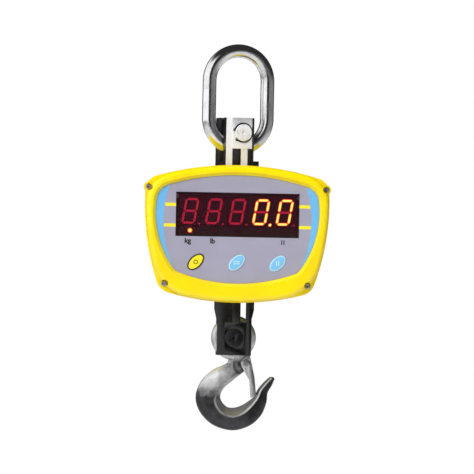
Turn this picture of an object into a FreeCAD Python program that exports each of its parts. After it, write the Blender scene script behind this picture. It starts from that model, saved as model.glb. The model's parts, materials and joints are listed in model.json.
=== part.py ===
import FreeCAD, Part
import math
import os

# Crane scale. Millimetres, X to the right, Y to the rear, Z up.
# The origin is the bearing point at the top inside of the suspension link.

V = FreeCAD.Vector
Z_AXIS = V(0, 0, 1)
BEYOND = 60.0              # far enough along Y to cut right through any piece

# Suspension link and the two forks
LINK_WIRE_R = 8.0
LINK_INNER_W = 54.5
LINK_INNER_L = 98.0
UPPER_PIN_R = 10.0
UPPER_TURN = 14.5          # the upper fork is screwed home a little short of square
BEARING_GAP = 0.3
FORK_W = 40.0
FORK_D = 46.0
UPPER_SLOT = 20.0
LOWER_SLOT = 21.0
BLOCK_STEP = 1.0           # the pin blocks stand proud of the fork bars
PIN_ABOVE_CASE = 38.0
PIN_BELOW_CASE = 41.0
UPPER_PIN_Z = -LINK_INNER_L + UPPER_PIN_R + BEARING_GAP
PIN_END = FORK_D / 2 + 3.4
PIN_CHAMFER = 0.8
HEAD_CHAMFER = 0.6
FORK_FACE_Y = -FORK_D / 2 + BLOCK_STEP

# Upper fork, heights measured from its pin
UPPER_TOP = 17.4
UPPER_FLOOR = -33.0
UPPER_BLOCK_LOW = -18.6
UPPER_BLOCK_X = (-13.0, 13.4)
POCKETS_X = ((-12.4, -1.9), (6.0, 12.2))
POCKET_DEPTH = 5.0
POCKET_ABOVE_CELL = 4.0

# Lower fork, heights measured from its pin
LOWER_LOW = -20.4
LOWER_FLOOR = 28.5
LOWER_BLOCK_TOP = 17.8
LOWER_BLOCK_X = (-11.3, 12.7)
SHOULDER_HALF_W = 22.6
SHOULDER_FROM = 22.0
SHOULDER_TO = 33.0
SIGHT_SLOT_X = (6.9, 14.6)
SIGHT_SLOT_TOP = 44.0
RELIEF_X = (-4.7, -2.4)
RELIEF_TOP = 46.0
PIN_HEAD_SEAT_Y = -18.0

# Snap rings
RING_T = 1.2
RING_R = 11.6
RING_SLACK = 0.05
RING_SEAT_R = UPPER_PIN_R - 0.65
RING_GAP_AT = 195.0
RING_GAP_HALF = 26.0       # degrees either side of the middle of the gap
RING_EYE_TURN = 31.5
RING_EYE_AT = 11.2
RING_EYE_R = 1.6
RING_HOLE_R = 0.7
RING_SEAT = (FORK_D / 2 + RING_SLACK, FORK_D / 2 + RING_SLACK + RING_T)
GROOVE = (RING_SEAT[0] - RING_SLACK, RING_SEAT[1] + RING_SLACK)
GROOVE_DEPTH = 0.7

# Case
CASE_H = 160.0
CASE_TOP_Z = UPPER_PIN_Z - PIN_ABOVE_CASE
CASE_BOTTOM_Z = CASE_TOP_Z - CASE_H
LOWER_PIN_Z = CASE_BOTTOM_Z - PIN_BELOW_CASE
CASE_FRONT_Y = -60.0
PANEL_Y = -54.0            # front face of the panel plate
BEZEL_BACK_Y = -34.0
GASKET_T = 1.5
SHELL_FRONT_Y = BEZEL_BACK_Y + GASKET_T
CASE_BACK_Y = 44.0
WALL = 3.0
FLANGE_T = 4.0
FLANGE_LIP = 3.5           # how far the flange stands out past the shells
CORNER_TOP_R = 18.0
CORNER_LOW_R = 20.0
CORNER_SCREWS = ((103.2, -26.7), (83.4, -139.0))
LUG_R = 5.6
WELL_R = 4.6
SEAL_BELOW = 1.0           # the fork seals end behind the edge of the flange

# Raised rim of the front shell: same sides as the case, rounder corners
RIM_INSET = 1.2
RIM_TOP_R = 36.0
RIM_LOW_R = 54.0
RIM_ROUND = 5.5
SLOPE_W = 3.6
SLOPE_FOOT_Y = -55.4

# Outlines as (half width, depth below the top of the case):
# top middle, top corner, side, low corner, low middle
CASE_OUTLINE = ((0, 0), (106, -17.4), (106, -71), (88, -147), (0, -CASE_H))
OPENING_OUTLINE = ((0, -12), (91.8, -27.8), (95.1, -55), (71.3, -124), (0, -137.7))
OPENING_TOP_R = 20.0
OPENING_LOW_R = 12.0

# Panel
PANEL_T = 2.0
PANEL_OVERLAP = 3.0
FILM_T = 0.4
FIT_GAP = 0.3
WINDOW_W = 142.0
WINDOW_H = 50.0
WINDOW_Z = CASE_TOP_Z - 57.9
WINDOW_PROUD = 0.2
DIGIT_PITCH = 27.4
DIGIT_PACKAGE = (26.8, 8.0, 36.0)
DIGIT_Z = WINDOW_Z + 3.7
LED_ROW_Z = WINDOW_Z - 18.9
BOARD_FRONT_Y = -43.5
BOARD_T = 1.6
BOARD_X = 74.0
BOARD_Z = (WINDOW_Z - 62.0, WINDOW_Z + 24.0)
STANDOFF_AT = ((-71.0, 21.0), (71.0, 21.0), (-62.0, -58.0), (62.0, -58.0))

# Buttons
BUTTON_X = {"button_zero": -47.5, "button_units": 0.0, "button_hold": 47.5}
BUTTON_Z = WINDOW_Z - 55.4
BUTTON_HALF_L = 11.5
BUTTON_HALF_W = 6.9
BUTTON_SLANT = 45.0
BUTTON_TRAVEL = 0.8
BUTTON_PROUD = 1.2
SWITCH_TOP_Y = BOARD_FRONT_Y - 4.6

# Load cell
CELL_W = 38.0
CELL_D = 30.0
CELL_TOP_Z = CASE_TOP_Z - 10.0
CELL_BOTTOM_Z = CASE_BOTTOM_Z + 10.0
CELL_MID_Z = (CELL_TOP_Z + CELL_BOTTOM_Z) / 2
SHANK_R = 10.0
SHANK_L = 24.0
THREAD_GAP = 0.05
CROSS_PIN_R = 3.0
GAUGE_WELL_R = 12.0
GAUGE_WELL_OFF = 14.0
GAUGE_SLOT_HALF_W = 3.0
COVER_T = 1.5
COVER_HALF_W = 15.0
COVER_Z = (CELL_MID_Z - 30.0, CELL_MID_Z + 30.0)
CELL_BRACKET_Z = (CELL_MID_Z + 42.0, CELL_MID_Z - 42.0)
CELL_SCREW_X = (-11.0, 11.0)
BACK_SCREW_X = (-21.0, 21.0)
BRACKET_HALF_W = 26.0
BRACKET_FOOT_HALF_W = 17.0
BRACKET_RISE = 10.0
BRACKET_T = 2.5
BRACKET_HOLE_R = 2.2
SINK = 2.0                 # depth of the screw and socket recesses in the back
BACK_RECESS_R = 4.2

# Screws: shank radius, head radius, head height
CASE_SCREW = (1.65, 3.5, 2.4)
CASE_SCREW_HOLE_R = 2.2
CASE_SCREW_PILOT_R = 1.7
CELL_SCREW = (1.95, 3.6, 2.6)
BACK_SCREW = (1.95, 3.8, SINK - 0.2)
DISPLAY_SCREW = (1.15, 2.4, 1.8)
MAIN_BOARD_SCREW = (1.25, 2.4, 1.8)

# Hook, measured from the middle of its eye
EYE_R = 26.0
EYE_T = 18.0
LOWER_PIN_R = 10.0
LOWER_HEAD_R = 10.8
RUNNING_GAP = 0.08
HOOK_EYE_Z = LOWER_PIN_Z
# outer point, inner point and half thickness of the sections down the hook
HOOK_SECTIONS = (
    ((-8, -17), (13, -19), 8.0),
    ((-6.5, -29), (15, -36), 8.5),
    ((-23.4, -38), (3, -47.5), 9.5),
    ((-36.8, -51.4), (-9.5, -58.5), 10.0),
    ((-43, -69), (-14, -68), 10.0),
    ((-38, -87), (-12.3, -74.5), 10.0),
    ((-22.5, -102.2), (-6, -80.8), 10.0),
    ((0, -108.4), (2, -81.6), 10.0),
    ((20, -103), (10.5, -79), 10.0),
    ((33.5, -91), (19, -73.5), 9.0),
    ((39.8, -76), (25.2, -68), 7.5),
    ((41.2, -64), (29.6, -59.5), 6.2),
    ((46, -55), (36, -51.5), 5.4),
    ((48.4, -49.0), (41.5, -46.2), 3.8),
)
RIVET_AT = (14.7, -29.9)
RIVET_R = 2.4
RIVET_HEAD_R = 5.0
LATCH_LEAN = 13.0          # degrees from straight down, towards the tip
LATCH_SHEET = 1.5
LATCH_HALF_W = 7.7
NOTCH_R = 14.0             # room for the latch cheeks on both sides of the neck
NOTCH_HALF_W = 5.7
LUG_END_R = 4.7
SPRING_ROOM_R = 5.6
EYE_ROUND = 4.0
SECTION_POINTS = 12
SECTION_SWELL = 0.12       # how much thicker a section is towards the saddle

# Inside the rear case
BATTERY = ((-86.0, -20.5), (5.0, 38.0), (CASE_TOP_Z - 121.0, CASE_TOP_Z - 24.0))
MAIN_BOARD = ((28.0, 84.0), (18.4, 20.0), (CASE_TOP_Z - 108.0, CASE_TOP_Z - 34.0))
SOCKET_X = 40.0
SOCKET_Z = CASE_TOP_Z - 126.0
SOCKET_R = 5.5
SOCKET_FLANGE_R = 7.5
CABLE_R = 2.0
CABLE_BEND = 6.0


def save(name, shape):
    shape.exportStep("parts/" + name + ".step")


def group(shapes):
    return Part.makeCompound(shapes)


def box(x, y, z):
    """A box from three (low, high) pairs."""
    return Part.makeBox(x[1] - x[0], y[1] - y[0], z[1] - z[0], V(x[0], y[0], z[0]))


def rod_y(x, z, r, y):
    return Part.makeCylinder(r, y[1] - y[0], V(x, y[0], z), V(0, 1, 0))


def rod_z(x, y, r, z):
    return Part.makeCylinder(r, z[1] - z[0], V(x, y, z[0]), Z_AXIS)


def join(shapes):
    return shapes[0].multiFuse(shapes[1:]).removeSplitter()


def turned(shape):
    """The upper fork, its pin and the link share one turn about Z."""
    shape.rotate(V(0, 0, 0), Z_AXIS, UPPER_TURN)
    return shape


def plate(points, y):
    """A flat piece in the XZ plane between two Y values, from a list of (x, z) corners."""
    wire = Part.makePolygon([V(px, y[0], pz) for px, pz in points + points[:1]])
    return Part.Face(wire).extrude(V(0, y[1] - y[0], 0))


def outline_wire(outline, inset):
    """Four arcs, mirrored about X = 0, drawn at Y = 0 and moved in by inset."""
    top, corner, side, low_corner, low = [V(px, 0, CASE_TOP_Z + pz) for px, pz in outline]
    left = [V(-p.x, 0, p.z) for p in (corner, side, low_corner)]
    arcs = [
        Part.Arc(left[0], top, corner),
        Part.Arc(corner, side, low_corner),
        Part.Arc(low_corner, low, left[2]),
        Part.Arc(left[2], left[1], left[0]),
    ]
    wire = Part.Wire([a.toShape() for a in arcs])
    if inset:
        wire = wire.makeOffset2D(-inset, 2)
    return wire


def outline_prism(outline, y, radii, inset=0.0):
    """An outline drawn out along Y, its top and low corners rounded."""
    wire = outline_wire(outline, inset)
    solid = Part.Face(wire).extrude(V(0, y[1] - y[0], 0))
    solid.translate(V(0, y[0], 0))
    middle_z = CASE_TOP_Z - CASE_H / 2
    along_y = [e for e in solid.Edges if abs(e.tangentAt(e.FirstParameter).y) > 0.99]
    top = [e for e in along_y if e.CenterOfMass.z > middle_z]
    solid = solid.makeFillet(max(radii[0] - inset, 1.0), top)
    along_y = [e for e in solid.Edges if abs(e.tangentAt(e.FirstParameter).y) > 0.99]
    low = [e for e in along_y if e.CenterOfMass.z <= middle_z]
    return solid.makeFillet(max(radii[1] - inset, 1.0), low)


def case_prism(y, inset):
    return outline_prism(CASE_OUTLINE, y, (CORNER_TOP_R, CORNER_LOW_R), inset)


def opening_prism(y, grow):
    return outline_prism(OPENING_OUTLINE, y, (OPENING_TOP_R, OPENING_LOW_R), -grow)


def edges_at_y(shape, y):
    """The edges that lie wholly in one XZ plane."""
    found = []
    for edge in shape.Edges:
        span = edge.BoundBox
        if abs(span.YMin - y) < 0.01 and abs(span.YMax - y) < 0.01:
            found.append(edge)
    return found


def corner_screws():
    """All four case screw places, as (x, z)."""
    return [(side * sx, CASE_TOP_Z + sz) for sx, sz in CORNER_SCREWS for side in (-1, 1)]


# ---- suspension link and forks ----

def master_link():
    """Round bar bent and welded into a long ring."""
    bow_r = LINK_INNER_W / 2 + LINK_WIRE_R
    top_z = -LINK_INNER_W / 2
    low_z = -LINK_INNER_L + LINK_INNER_W / 2
    path = Part.Wire([
        Part.Arc(V(-bow_r, 0, top_z), V(0, 0, top_z + bow_r), V(bow_r, 0, top_z)).toShape(),
        Part.makeLine(V(bow_r, 0, top_z), V(bow_r, 0, low_z)),
        Part.Arc(V(bow_r, 0, low_z), V(0, 0, low_z - bow_r), V(-bow_r, 0, low_z)).toShape(),
        Part.makeLine(V(-bow_r, 0, low_z), V(-bow_r, 0, top_z)),
    ])
    section = Part.Wire(Part.makeCircle(LINK_WIRE_R, V(-bow_r, 0, top_z), Z_AXIS))
    return turned(path.makePipeShell([section], True, True))


def upper_clevis():
    """Fork for the link: two ears, a proud pin block in front, and a screwed shank."""
    top = UPPER_PIN_Z + UPPER_TOP
    floor = UPPER_PIN_Z + UPPER_FLOOR
    block_low = UPPER_PIN_Z + UPPER_BLOCK_LOW
    slot_y = (-UPPER_SLOT / 2, UPPER_SLOT / 2)
    body = box((-FORK_W / 2, FORK_W / 2), (FORK_FACE_Y, FORK_D / 2), (CELL_TOP_Z, top))
    body = body.cut(box((UPPER_BLOCK_X[1], FORK_W), (-BEYOND, slot_y[0]), (floor, top + 1)))
    body = body.cut(box((-FORK_W, FORK_W), slot_y, (floor, top + 1)))
    body = body.fuse(box(UPPER_BLOCK_X, (-FORK_D / 2, FORK_FACE_Y), (block_low, top)))
    # two tool pockets below the pin block leave a rib between them
    for pocket_x in POCKETS_X:
        pocket_y = (-BEYOND, FORK_FACE_Y + POCKET_DEPTH)
        body = body.cut(box(pocket_x, pocket_y, (CELL_TOP_Z + POCKET_ABOVE_CELL, block_low)))
    outer = [e for e in body.Edges if e.Length > 12 and abs(e.BoundBox.ZMax - top) < 0.01
             and abs(e.BoundBox.ZMin - top) < 0.01]
    body = body.makeChamfer(PIN_CHAMFER, outer)
    shank = rod_z(0, 0, SHANK_R, (CELL_TOP_Z - SHANK_L, CELL_TOP_Z))
    body = body.fuse(shank)
    body = body.cut(rod_y(0, UPPER_PIN_Z, UPPER_PIN_R + RUNNING_GAP, (-BEYOND, BEYOND)))
    body = turned(body.removeSplitter())
    return body.cut(rod_y(0, CELL_TOP_Z - SHANK_L / 2, CROSS_PIN_R, (-BEYOND, BEYOND)))


def grooved_pin(z, y, grooves, head=None):
    """A plain pin with snap-ring grooves; head is an optional (radius, end Y)."""
    radius = UPPER_PIN_R
    pin = rod_y(0, z, radius, y)
    pin = pin.makeChamfer(PIN_CHAMFER, edges_at_y(pin, y[0]) + edges_at_y(pin, y[1]))
    for groove in grooves:
        pin = pin.cut(rod_y(0, z, radius + 1, groove).cut(rod_y(0, z, radius - GROOVE_DEPTH, groove)))
    if head:
        flange = rod_y(0, z, head[0], (y[0], head[1]))
        flange = flange.makeChamfer(HEAD_CHAMFER, edges_at_y(flange, y[0]))
        pin = pin.fuse(flange)
    centre = Part.makeCone(1.6, 0.2, 1.6, V(0, y[0], z), V(0, 1, 0))
    return pin.cut(centre).removeSplitter()


def snap_ring(z, y, gap_angle):
    """External snap ring with two eyes beside its gap; gap_angle is measured in the XZ plane."""
    seat = rod_y(0, z, RING_SEAT_R, y)
    ring = rod_y(0, z, RING_R, y).cut(seat)
    reach = 2 * RING_R
    wedge = [(0.0, z)]
    for step in (-1, 1):
        angle = math.radians(gap_angle + step * RING_GAP_HALF)
        wedge.append((reach * math.cos(angle), z + reach * math.sin(angle)))
    ring = ring.cut(plate(wedge, (y[0] - 1, y[1] + 1)))
    for step in (-1, 1):
        angle = math.radians(gap_angle + step * RING_EYE_TURN)
        ex = RING_EYE_AT * math.cos(angle)
        ez = z + RING_EYE_AT * math.sin(angle)
        ring = ring.fuse(rod_y(ex, ez, RING_EYE_R, y)).cut(rod_y(ex, ez, RING_HOLE_R, y)).cut(seat)
    return ring.removeSplitter()


def upper_pin():
    grooves = [GROOVE, (-GROOVE[1], -GROOVE[0])]
    return turned(grooved_pin(UPPER_PIN_Z, (-PIN_END, PIN_END), grooves))


def upper_pin_rings():
    front = snap_ring(UPPER_PIN_Z, (-RING_SEAT[1], -RING_SEAT[0]), RING_GAP_AT)
    rear = snap_ring(UPPER_PIN_Z, RING_SEAT, RING_GAP_AT)
    return turned(group([front, rear]))


def lower_clevis():
    """Fork for the hook: shoulders under the case, a sight slot and a proud pin block."""
    low = LOWER_PIN_Z + LOWER_LOW
    floor = LOWER_PIN_Z + LOWER_FLOOR
    block_top = LOWER_PIN_Z + LOWER_BLOCK_TOP
    right = [
        (FORK_W / 2, low),
        (FORK_W / 2, LOWER_PIN_Z + SHOULDER_FROM),
        (SHOULDER_HALF_W, LOWER_PIN_Z + SHOULDER_TO),
        (SHOULDER_HALF_W, CELL_BOTTOM_Z),
    ]
    left = [(-x, z) for x, z in reversed(right)]
    body = plate(right + left, (FORK_FACE_Y, FORK_D / 2))
    body = body.cut(box((-FORK_W, FORK_W), (-LOWER_SLOT / 2, LOWER_SLOT / 2), (low - 1, floor)))
    body = body.fuse(box(LOWER_BLOCK_X, (-FORK_D / 2, FORK_FACE_Y), (low, block_top)))
    # sight slot right through, from the pin block up into the case
    slot_z = (block_top, LOWER_PIN_Z + SIGHT_SLOT_TOP)
    body = body.cut(box(SIGHT_SLOT_X, (-BEYOND, BEYOND), slot_z))
    # relief lines on the front face
    beside_block = (LOWER_BLOCK_X[1], SIGHT_SLOT_X[1])
    body = body.cut(box(beside_block, (-BEYOND, FORK_FACE_Y + 2), (low - 1, block_top)))
    body = body.cut(box(RELIEF_X, (-BEYOND, FORK_FACE_Y + 1), (block_top, LOWER_PIN_Z + RELIEF_TOP)))
    shank = rod_z(0, 0, SHANK_R, (CELL_BOTTOM_Z, CELL_BOTTOM_Z + SHANK_L))
    body = body.fuse(shank)
    body = body.cut(rod_y(0, LOWER_PIN_Z, LOWER_PIN_R + RUNNING_GAP, (-BEYOND, BEYOND)))
    body = body.cut(rod_y(0, LOWER_PIN_Z, LOWER_HEAD_R + RUNNING_GAP, (-BEYOND, PIN_HEAD_SEAT_Y)))
    body = body.removeSplitter()
    return body.cut(rod_y(0, CELL_BOTTOM_Z + SHANK_L / 2, CROSS_PIN_R, (-BEYOND, BEYOND)))


def lower_pin():
    head = (LOWER_HEAD_R, PIN_HEAD_SEAT_Y)
    return grooved_pin(LOWER_PIN_Z, (-FORK_D / 2 - 0.4, PIN_END), [GROOVE], head)


def lower_pin_ring():
    return snap_ring(LOWER_PIN_Z, RING_SEAT, 90)


# ---- load cell ----

def cell_bores():
    """The screwed hole at each end of the load cell."""
    r = SHANK_R + THREAD_GAP
    return [
        rod_z(0, 0, r, (CELL_TOP_Z - SHANK_L - 1, CELL_TOP_Z)),
        rod_z(0, 0, r, (CELL_BOTTOM_Z, CELL_BOTTOM_Z + SHANK_L + 1)),
    ]


def cross_pin_heights():
    return (CELL_TOP_Z - SHANK_L / 2, CELL_BOTTOM_Z + SHANK_L / 2)


def load_cell():
    """Steel bar with a two-lobed gauge well through it."""
    half = CELL_W / 2
    bar = box((-half, half), (-CELL_D / 2, CELL_D / 2), (CELL_BOTTOM_Z, CELL_TOP_Z))
    for off in (-GAUGE_WELL_OFF, GAUGE_WELL_OFF):
        bar = bar.cut(rod_y(0, CELL_MID_Z + off, GAUGE_WELL_R, (-20, 20)))
    slot_z = (CELL_MID_Z - GAUGE_WELL_OFF, CELL_MID_Z + GAUGE_WELL_OFF)
    bar = bar.cut(box((-GAUGE_SLOT_HALF_W, GAUGE_SLOT_HALF_W), (-20, 20), slot_z))
    for bore in cell_bores():
        bar = bar.cut(bore)
    for z in cross_pin_heights():
        bar = bar.cut(rod_y(0, z, CROSS_PIN_R, (-BEYOND, BEYOND)))
    for z in CELL_BRACKET_Z:
        for x in CELL_SCREW_X:
            bar = bar.cut(rod_y(x, z, CELL_SCREW[0] + THREAD_GAP, (CELL_D / 2 - 8, CELL_D / 2 + 1)))
    return bar


def gauge_covers():
    """Thin plates that seal the gauge well front and rear."""
    x = (-COVER_HALF_W, COVER_HALF_W)
    front = box(x, (-CELL_D / 2 - COVER_T, -CELL_D / 2), COVER_Z)
    rear = box(x, (CELL_D / 2, CELL_D / 2 + COVER_T), COVER_Z)
    return group([front, rear])


def cell_cross_pins():
    """Pins that stop the forks from unscrewing."""
    reach = CELL_D / 2 - 0.5
    return group([rod_y(0, z, CROSS_PIN_R - 0.02, (-reach, reach)) for z in cross_pin_heights()])


def cell_brackets():
    """Folded brackets that carry the case on the load cell."""
    shapes = []
    wall_y = CASE_BACK_Y - WALL
    foot_x = (-BRACKET_FOOT_HALF_W, BRACKET_FOOT_HALF_W)
    for z in CELL_BRACKET_Z:
        height = (z - BRACKET_RISE, z + BRACKET_RISE)
        front = box(foot_x, (CELL_D / 2, CELL_D / 2 + BRACKET_T), height)
        web = box(foot_x, (CELL_D / 2, wall_y), (height[0], height[0] + BRACKET_T))
        back = box((-BRACKET_HALF_W, BRACKET_HALF_W), (wall_y - BRACKET_T, wall_y), height)
        bracket = join([front, web, back])
        for x in CELL_SCREW_X:
            bracket = bracket.cut(rod_y(x, z, BRACKET_HOLE_R, (0, 30)))
        for x in BACK_SCREW_X:
            bracket = bracket.cut(rod_y(x, z, BRACKET_HOLE_R, (30, BEYOND)))
        shapes.append(bracket)
    return group(shapes)


def bolt(x, z, head_y, tip_y, size):
    """A pan-head screw along Y; the head stands on the far side of head_y from the tip."""
    shank_r, head_r, head_t = size
    way = 1 if tip_y > head_y else -1
    shank = rod_y(x, z, shank_r, (min(head_y, tip_y), max(head_y, tip_y)))
    top = head_y - way * head_t
    head = rod_y(x, z, head_r, (min(head_y, top), max(head_y, top)))
    head = head.makeFillet(head_t * 0.45, edges_at_y(head, top))
    arm = head_r * 0.62
    depth = (min(top, top + way * head_t * 0.55), max(top, top + way * head_t * 0.55))
    cross = box((x - arm, x + arm), depth, (z - 0.5, z + 0.5))
    cross = cross.fuse(box((x - 0.5, x + 0.5), depth, (z - arm, z + arm)))
    return join([shank, head]).cut(cross)


def cell_bracket_screws():
    shapes = []
    for z in CELL_BRACKET_Z:
        for x in CELL_SCREW_X:
            shapes.append(bolt(x, z, CELL_D / 2 + BRACKET_T, CELL_D / 2 - 7, CELL_SCREW))
        for x in BACK_SCREW_X:
            shapes.append(bolt(x, z, CASE_BACK_Y - SINK, CASE_BACK_Y - WALL - BRACKET_T, BACK_SCREW))
    return group(shapes)


# ---- hook ----

def hook_point(p, y=0.0):
    return V(p[0], y, HOOK_EYE_Z + p[1])


def hook_section(outer, inner, half_t):
    """A rounded section set across the hook, broadest a little behind the saddle."""
    centre = hook_point(((outer[0] + inner[0]) / 2, (outer[1] + inner[1]) / 2))
    across = hook_point(inner) - hook_point(outer)
    half_d = across.Length / 2
    across.normalize()
    side = V(0, 1, 0)
    ring = []
    for i in range(SECTION_POINTS):
        angle = 2 * math.pi * i / SECTION_POINTS
        along = half_d * math.cos(angle)
        out = half_t * math.sin(angle) * (1 + SECTION_SWELL * math.cos(angle))
        ring.append(centre + across * along + side * out)
    curve = Part.BSplineCurve()
    curve.interpolate(Points=ring, PeriodicFlag=True)
    return Part.Wire(curve.toShape())


def hook():
    """Forged eye hook: a flat eye on a swept, tapering bowl."""
    sections = [hook_section(*s) for s in HOOK_SECTIONS]
    bowl = Part.makeLoft(sections, True, False)
    tip_outer, tip_inner, tip_half = HOOK_SECTIONS[-1]
    tip = hook_point(((tip_outer[0] + tip_inner[0]) / 2, (tip_outer[1] + tip_inner[1]) / 2))
    bowl = bowl.fuse(Part.makeSphere(tip_half - 0.1, tip))
    eye = rod_y(0, HOOK_EYE_Z, EYE_R, (-EYE_T / 2, EYE_T / 2))
    eye = eye.makeFillet(EYE_ROUND, edges_at_y(eye, -EYE_T / 2) + edges_at_y(eye, EYE_T / 2))
    rx, rz = RIVET_AT[0], HOOK_EYE_Z + RIVET_AT[1]
    lug = rod_y(rx, rz, LUG_END_R, (-NOTCH_HALF_W, NOTCH_HALF_W))
    body = eye.fuse(bowl).fuse(lug)
    for y in ((-12, -NOTCH_HALF_W), (NOTCH_HALF_W, 12)):
        body = body.cut(rod_y(rx, rz, NOTCH_R, y))
    body = body.cut(rod_y(rx, rz, SPRING_ROOM_R, (-12, -4.0)))
    body = body.cut(rod_y(rx, rz, RIVET_R + RUNNING_GAP, (-12, 12)))
    bore_r = LOWER_PIN_R + RUNNING_GAP
    return body.cut(rod_y(0, HOOK_EYE_Z, bore_r, (-20, 20)))


def latch_point(u, v):
    """u runs from the rivet towards the tip, v square to it, away from the bowl."""
    lean = math.radians(LATCH_LEAN)
    x = RIVET_AT[0] + u * math.sin(lean) + v * math.cos(lean)
    z = RIVET_AT[1] - u * math.cos(lean) + v * math.sin(lean)
    return (x, HOOK_EYE_Z + z)


def hook_latch():
    """Pressed sheet latch: two cheeks joined by a web on the outer side."""
    back = [(-9.0, 6.7), (18, 6.7)]
    belly = [(20, 0.4), (9, -3.4), (3, -5.2), (-2, -5.6), (-5.4, -2)]
    # the cheeks straddle the inner edge of the hook's tip; the web stops just short of it
    cheek = [(-9.0, 3.8)] + back + [(38.9, 4.1), (40.6, -2.3)] + belly
    web = [(-9.0, 5.2)] + back + [(35.4, 4.5), (36.5, 2.9), (18, 5.2)]
    cheek = [latch_point(u, v) for u, v in cheek]
    web = [latch_point(u, v) for u, v in web]
    inner = LATCH_HALF_W - LATCH_SHEET
    parts = [
        plate(cheek, (-LATCH_HALF_W, -inner)),
        plate(cheek, (inner, LATCH_HALF_W)),
        plate(web, (-inner, inner)),
    ]
    body = join(parts)
    rx, rz = latch_point(0, 0)
    return body.cut(rod_y(rx, rz, RIVET_R + RUNNING_GAP, (-20, 20)))


def latch_rivet():
    rx, rz = latch_point(0, 0)
    end = LATCH_HALF_W + 0.15
    head_t = 1.9
    shank = rod_y(rx, rz, RIVET_R, (-end, end))
    front = rod_y(rx, rz, RIVET_HEAD_R, (-end - head_t, -end))
    front = front.makeFillet(head_t * 0.8, edges_at_y(front, -end - head_t))
    rear = rod_y(rx, rz, RIVET_HEAD_R - 0.6, (end, end + head_t))
    rear = rear.makeFillet(head_t * 0.8, edges_at_y(rear, end + head_t))
    return join([shank, front, rear])


def latch_spring():
    """Torsion spring on the rivet: two coils, and a leg that lies along the latch."""
    rx, rz = latch_point(0, 0)
    wire_r = 0.4
    coil_r = 3.5
    pitch = 0.9
    turns = 1.25
    front_y = -5.7
    start = V(coil_r, 0, 0)
    along = V(0, coil_r, pitch / (2 * math.pi))
    section = Part.Wire(Part.makeCircle(wire_r, start, along))
    coil = Part.Wire(Part.makeHelix(pitch, pitch * turns, coil_r)).makePipeShell([section], True, True)
    coil.rotate(V(0, 0, 0), V(1, 0, 0), -90)
    coil.translate(V(rx, front_y, rz))
    lean = math.radians(LATCH_LEAN)
    start = latch_point(1.2, coil_r + 2 * wire_r + 0.2)
    along_latch = V(math.sin(lean), 0, -math.cos(lean))
    leg = Part.makeCylinder(wire_r, 14.0, V(start[0], front_y, start[1]), along_latch)
    return group([coil, leg])


# ---- case ----

def case_lugs(y):
    return [rod_y(sx, sz, LUG_R, y) for sx, sz in corner_screws()]


def rim_prism(y, inset):
    return outline_prism(CASE_OUTLINE, y, (RIM_TOP_R, RIM_LOW_R), inset)


def outline_at(solid, y):
    """The outer wire of the flat end of a prism at one Y value."""
    for face in solid.Faces:
        if abs(face.BoundBox.YMin - y) < 0.01 and abs(face.BoundBox.YMax - y) < 0.01:
            return face.OuterWire


def opening_slope():
    """The opening widens from the panel to the crest of the rim."""
    foot = outline_at(opening_prism((SLOPE_FOOT_Y, PANEL_Y), 0.0), SLOPE_FOOT_Y)
    crest = outline_at(opening_prism((CASE_FRONT_Y, PANEL_Y), SLOPE_W), CASE_FRONT_Y)
    return Part.makeLoft([foot, crest], True, True)


def front_bezel():
    """Moulded front shell: a flange, and a raised rim round the panel opening."""
    rim = rim_prism((CASE_FRONT_Y, BEZEL_BACK_Y), RIM_INSET)
    rim = rim.makeFillet(RIM_ROUND, edges_at_y(rim, CASE_FRONT_Y))
    rim = rim.cut(opening_prism((CASE_FRONT_Y - 1, BEZEL_BACK_Y + 1), 0.0)).cut(opening_slope())
    hollow = rim_prism((PANEL_Y, BEZEL_BACK_Y + 1), RIM_INSET + WALL)
    for sx, sz in corner_screws():
        hollow = hollow.cut(rod_y(sx, sz, WELL_R + 2, (PANEL_Y - 1, BEZEL_BACK_Y + 2)))
    rim = rim.cut(hollow)
    flange_y = (BEZEL_BACK_Y - FLANGE_T, BEZEL_BACK_Y)
    flange = case_prism(flange_y, 0.0).fuse(case_lugs(flange_y))
    flange = flange.cut(case_prism((flange_y[0] - 1, flange_y[1] + 1), FLANGE_LIP + WALL))
    for sx, sz in corner_screws():
        rim = rim.cut(rod_y(sx, sz, WELL_R, (CASE_FRONT_Y - 1, flange_y[0])))
    body = join([rim, flange])
    for sx, sz in corner_screws():
        body = body.cut(rod_y(sx, sz, CASE_SCREW_HOLE_R, (CASE_FRONT_Y, 0)))
    return body


def turned_opening(w, d, z):
    return turned(box((-w / 2, w / 2), (-d / 2, d / 2), z))


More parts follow.
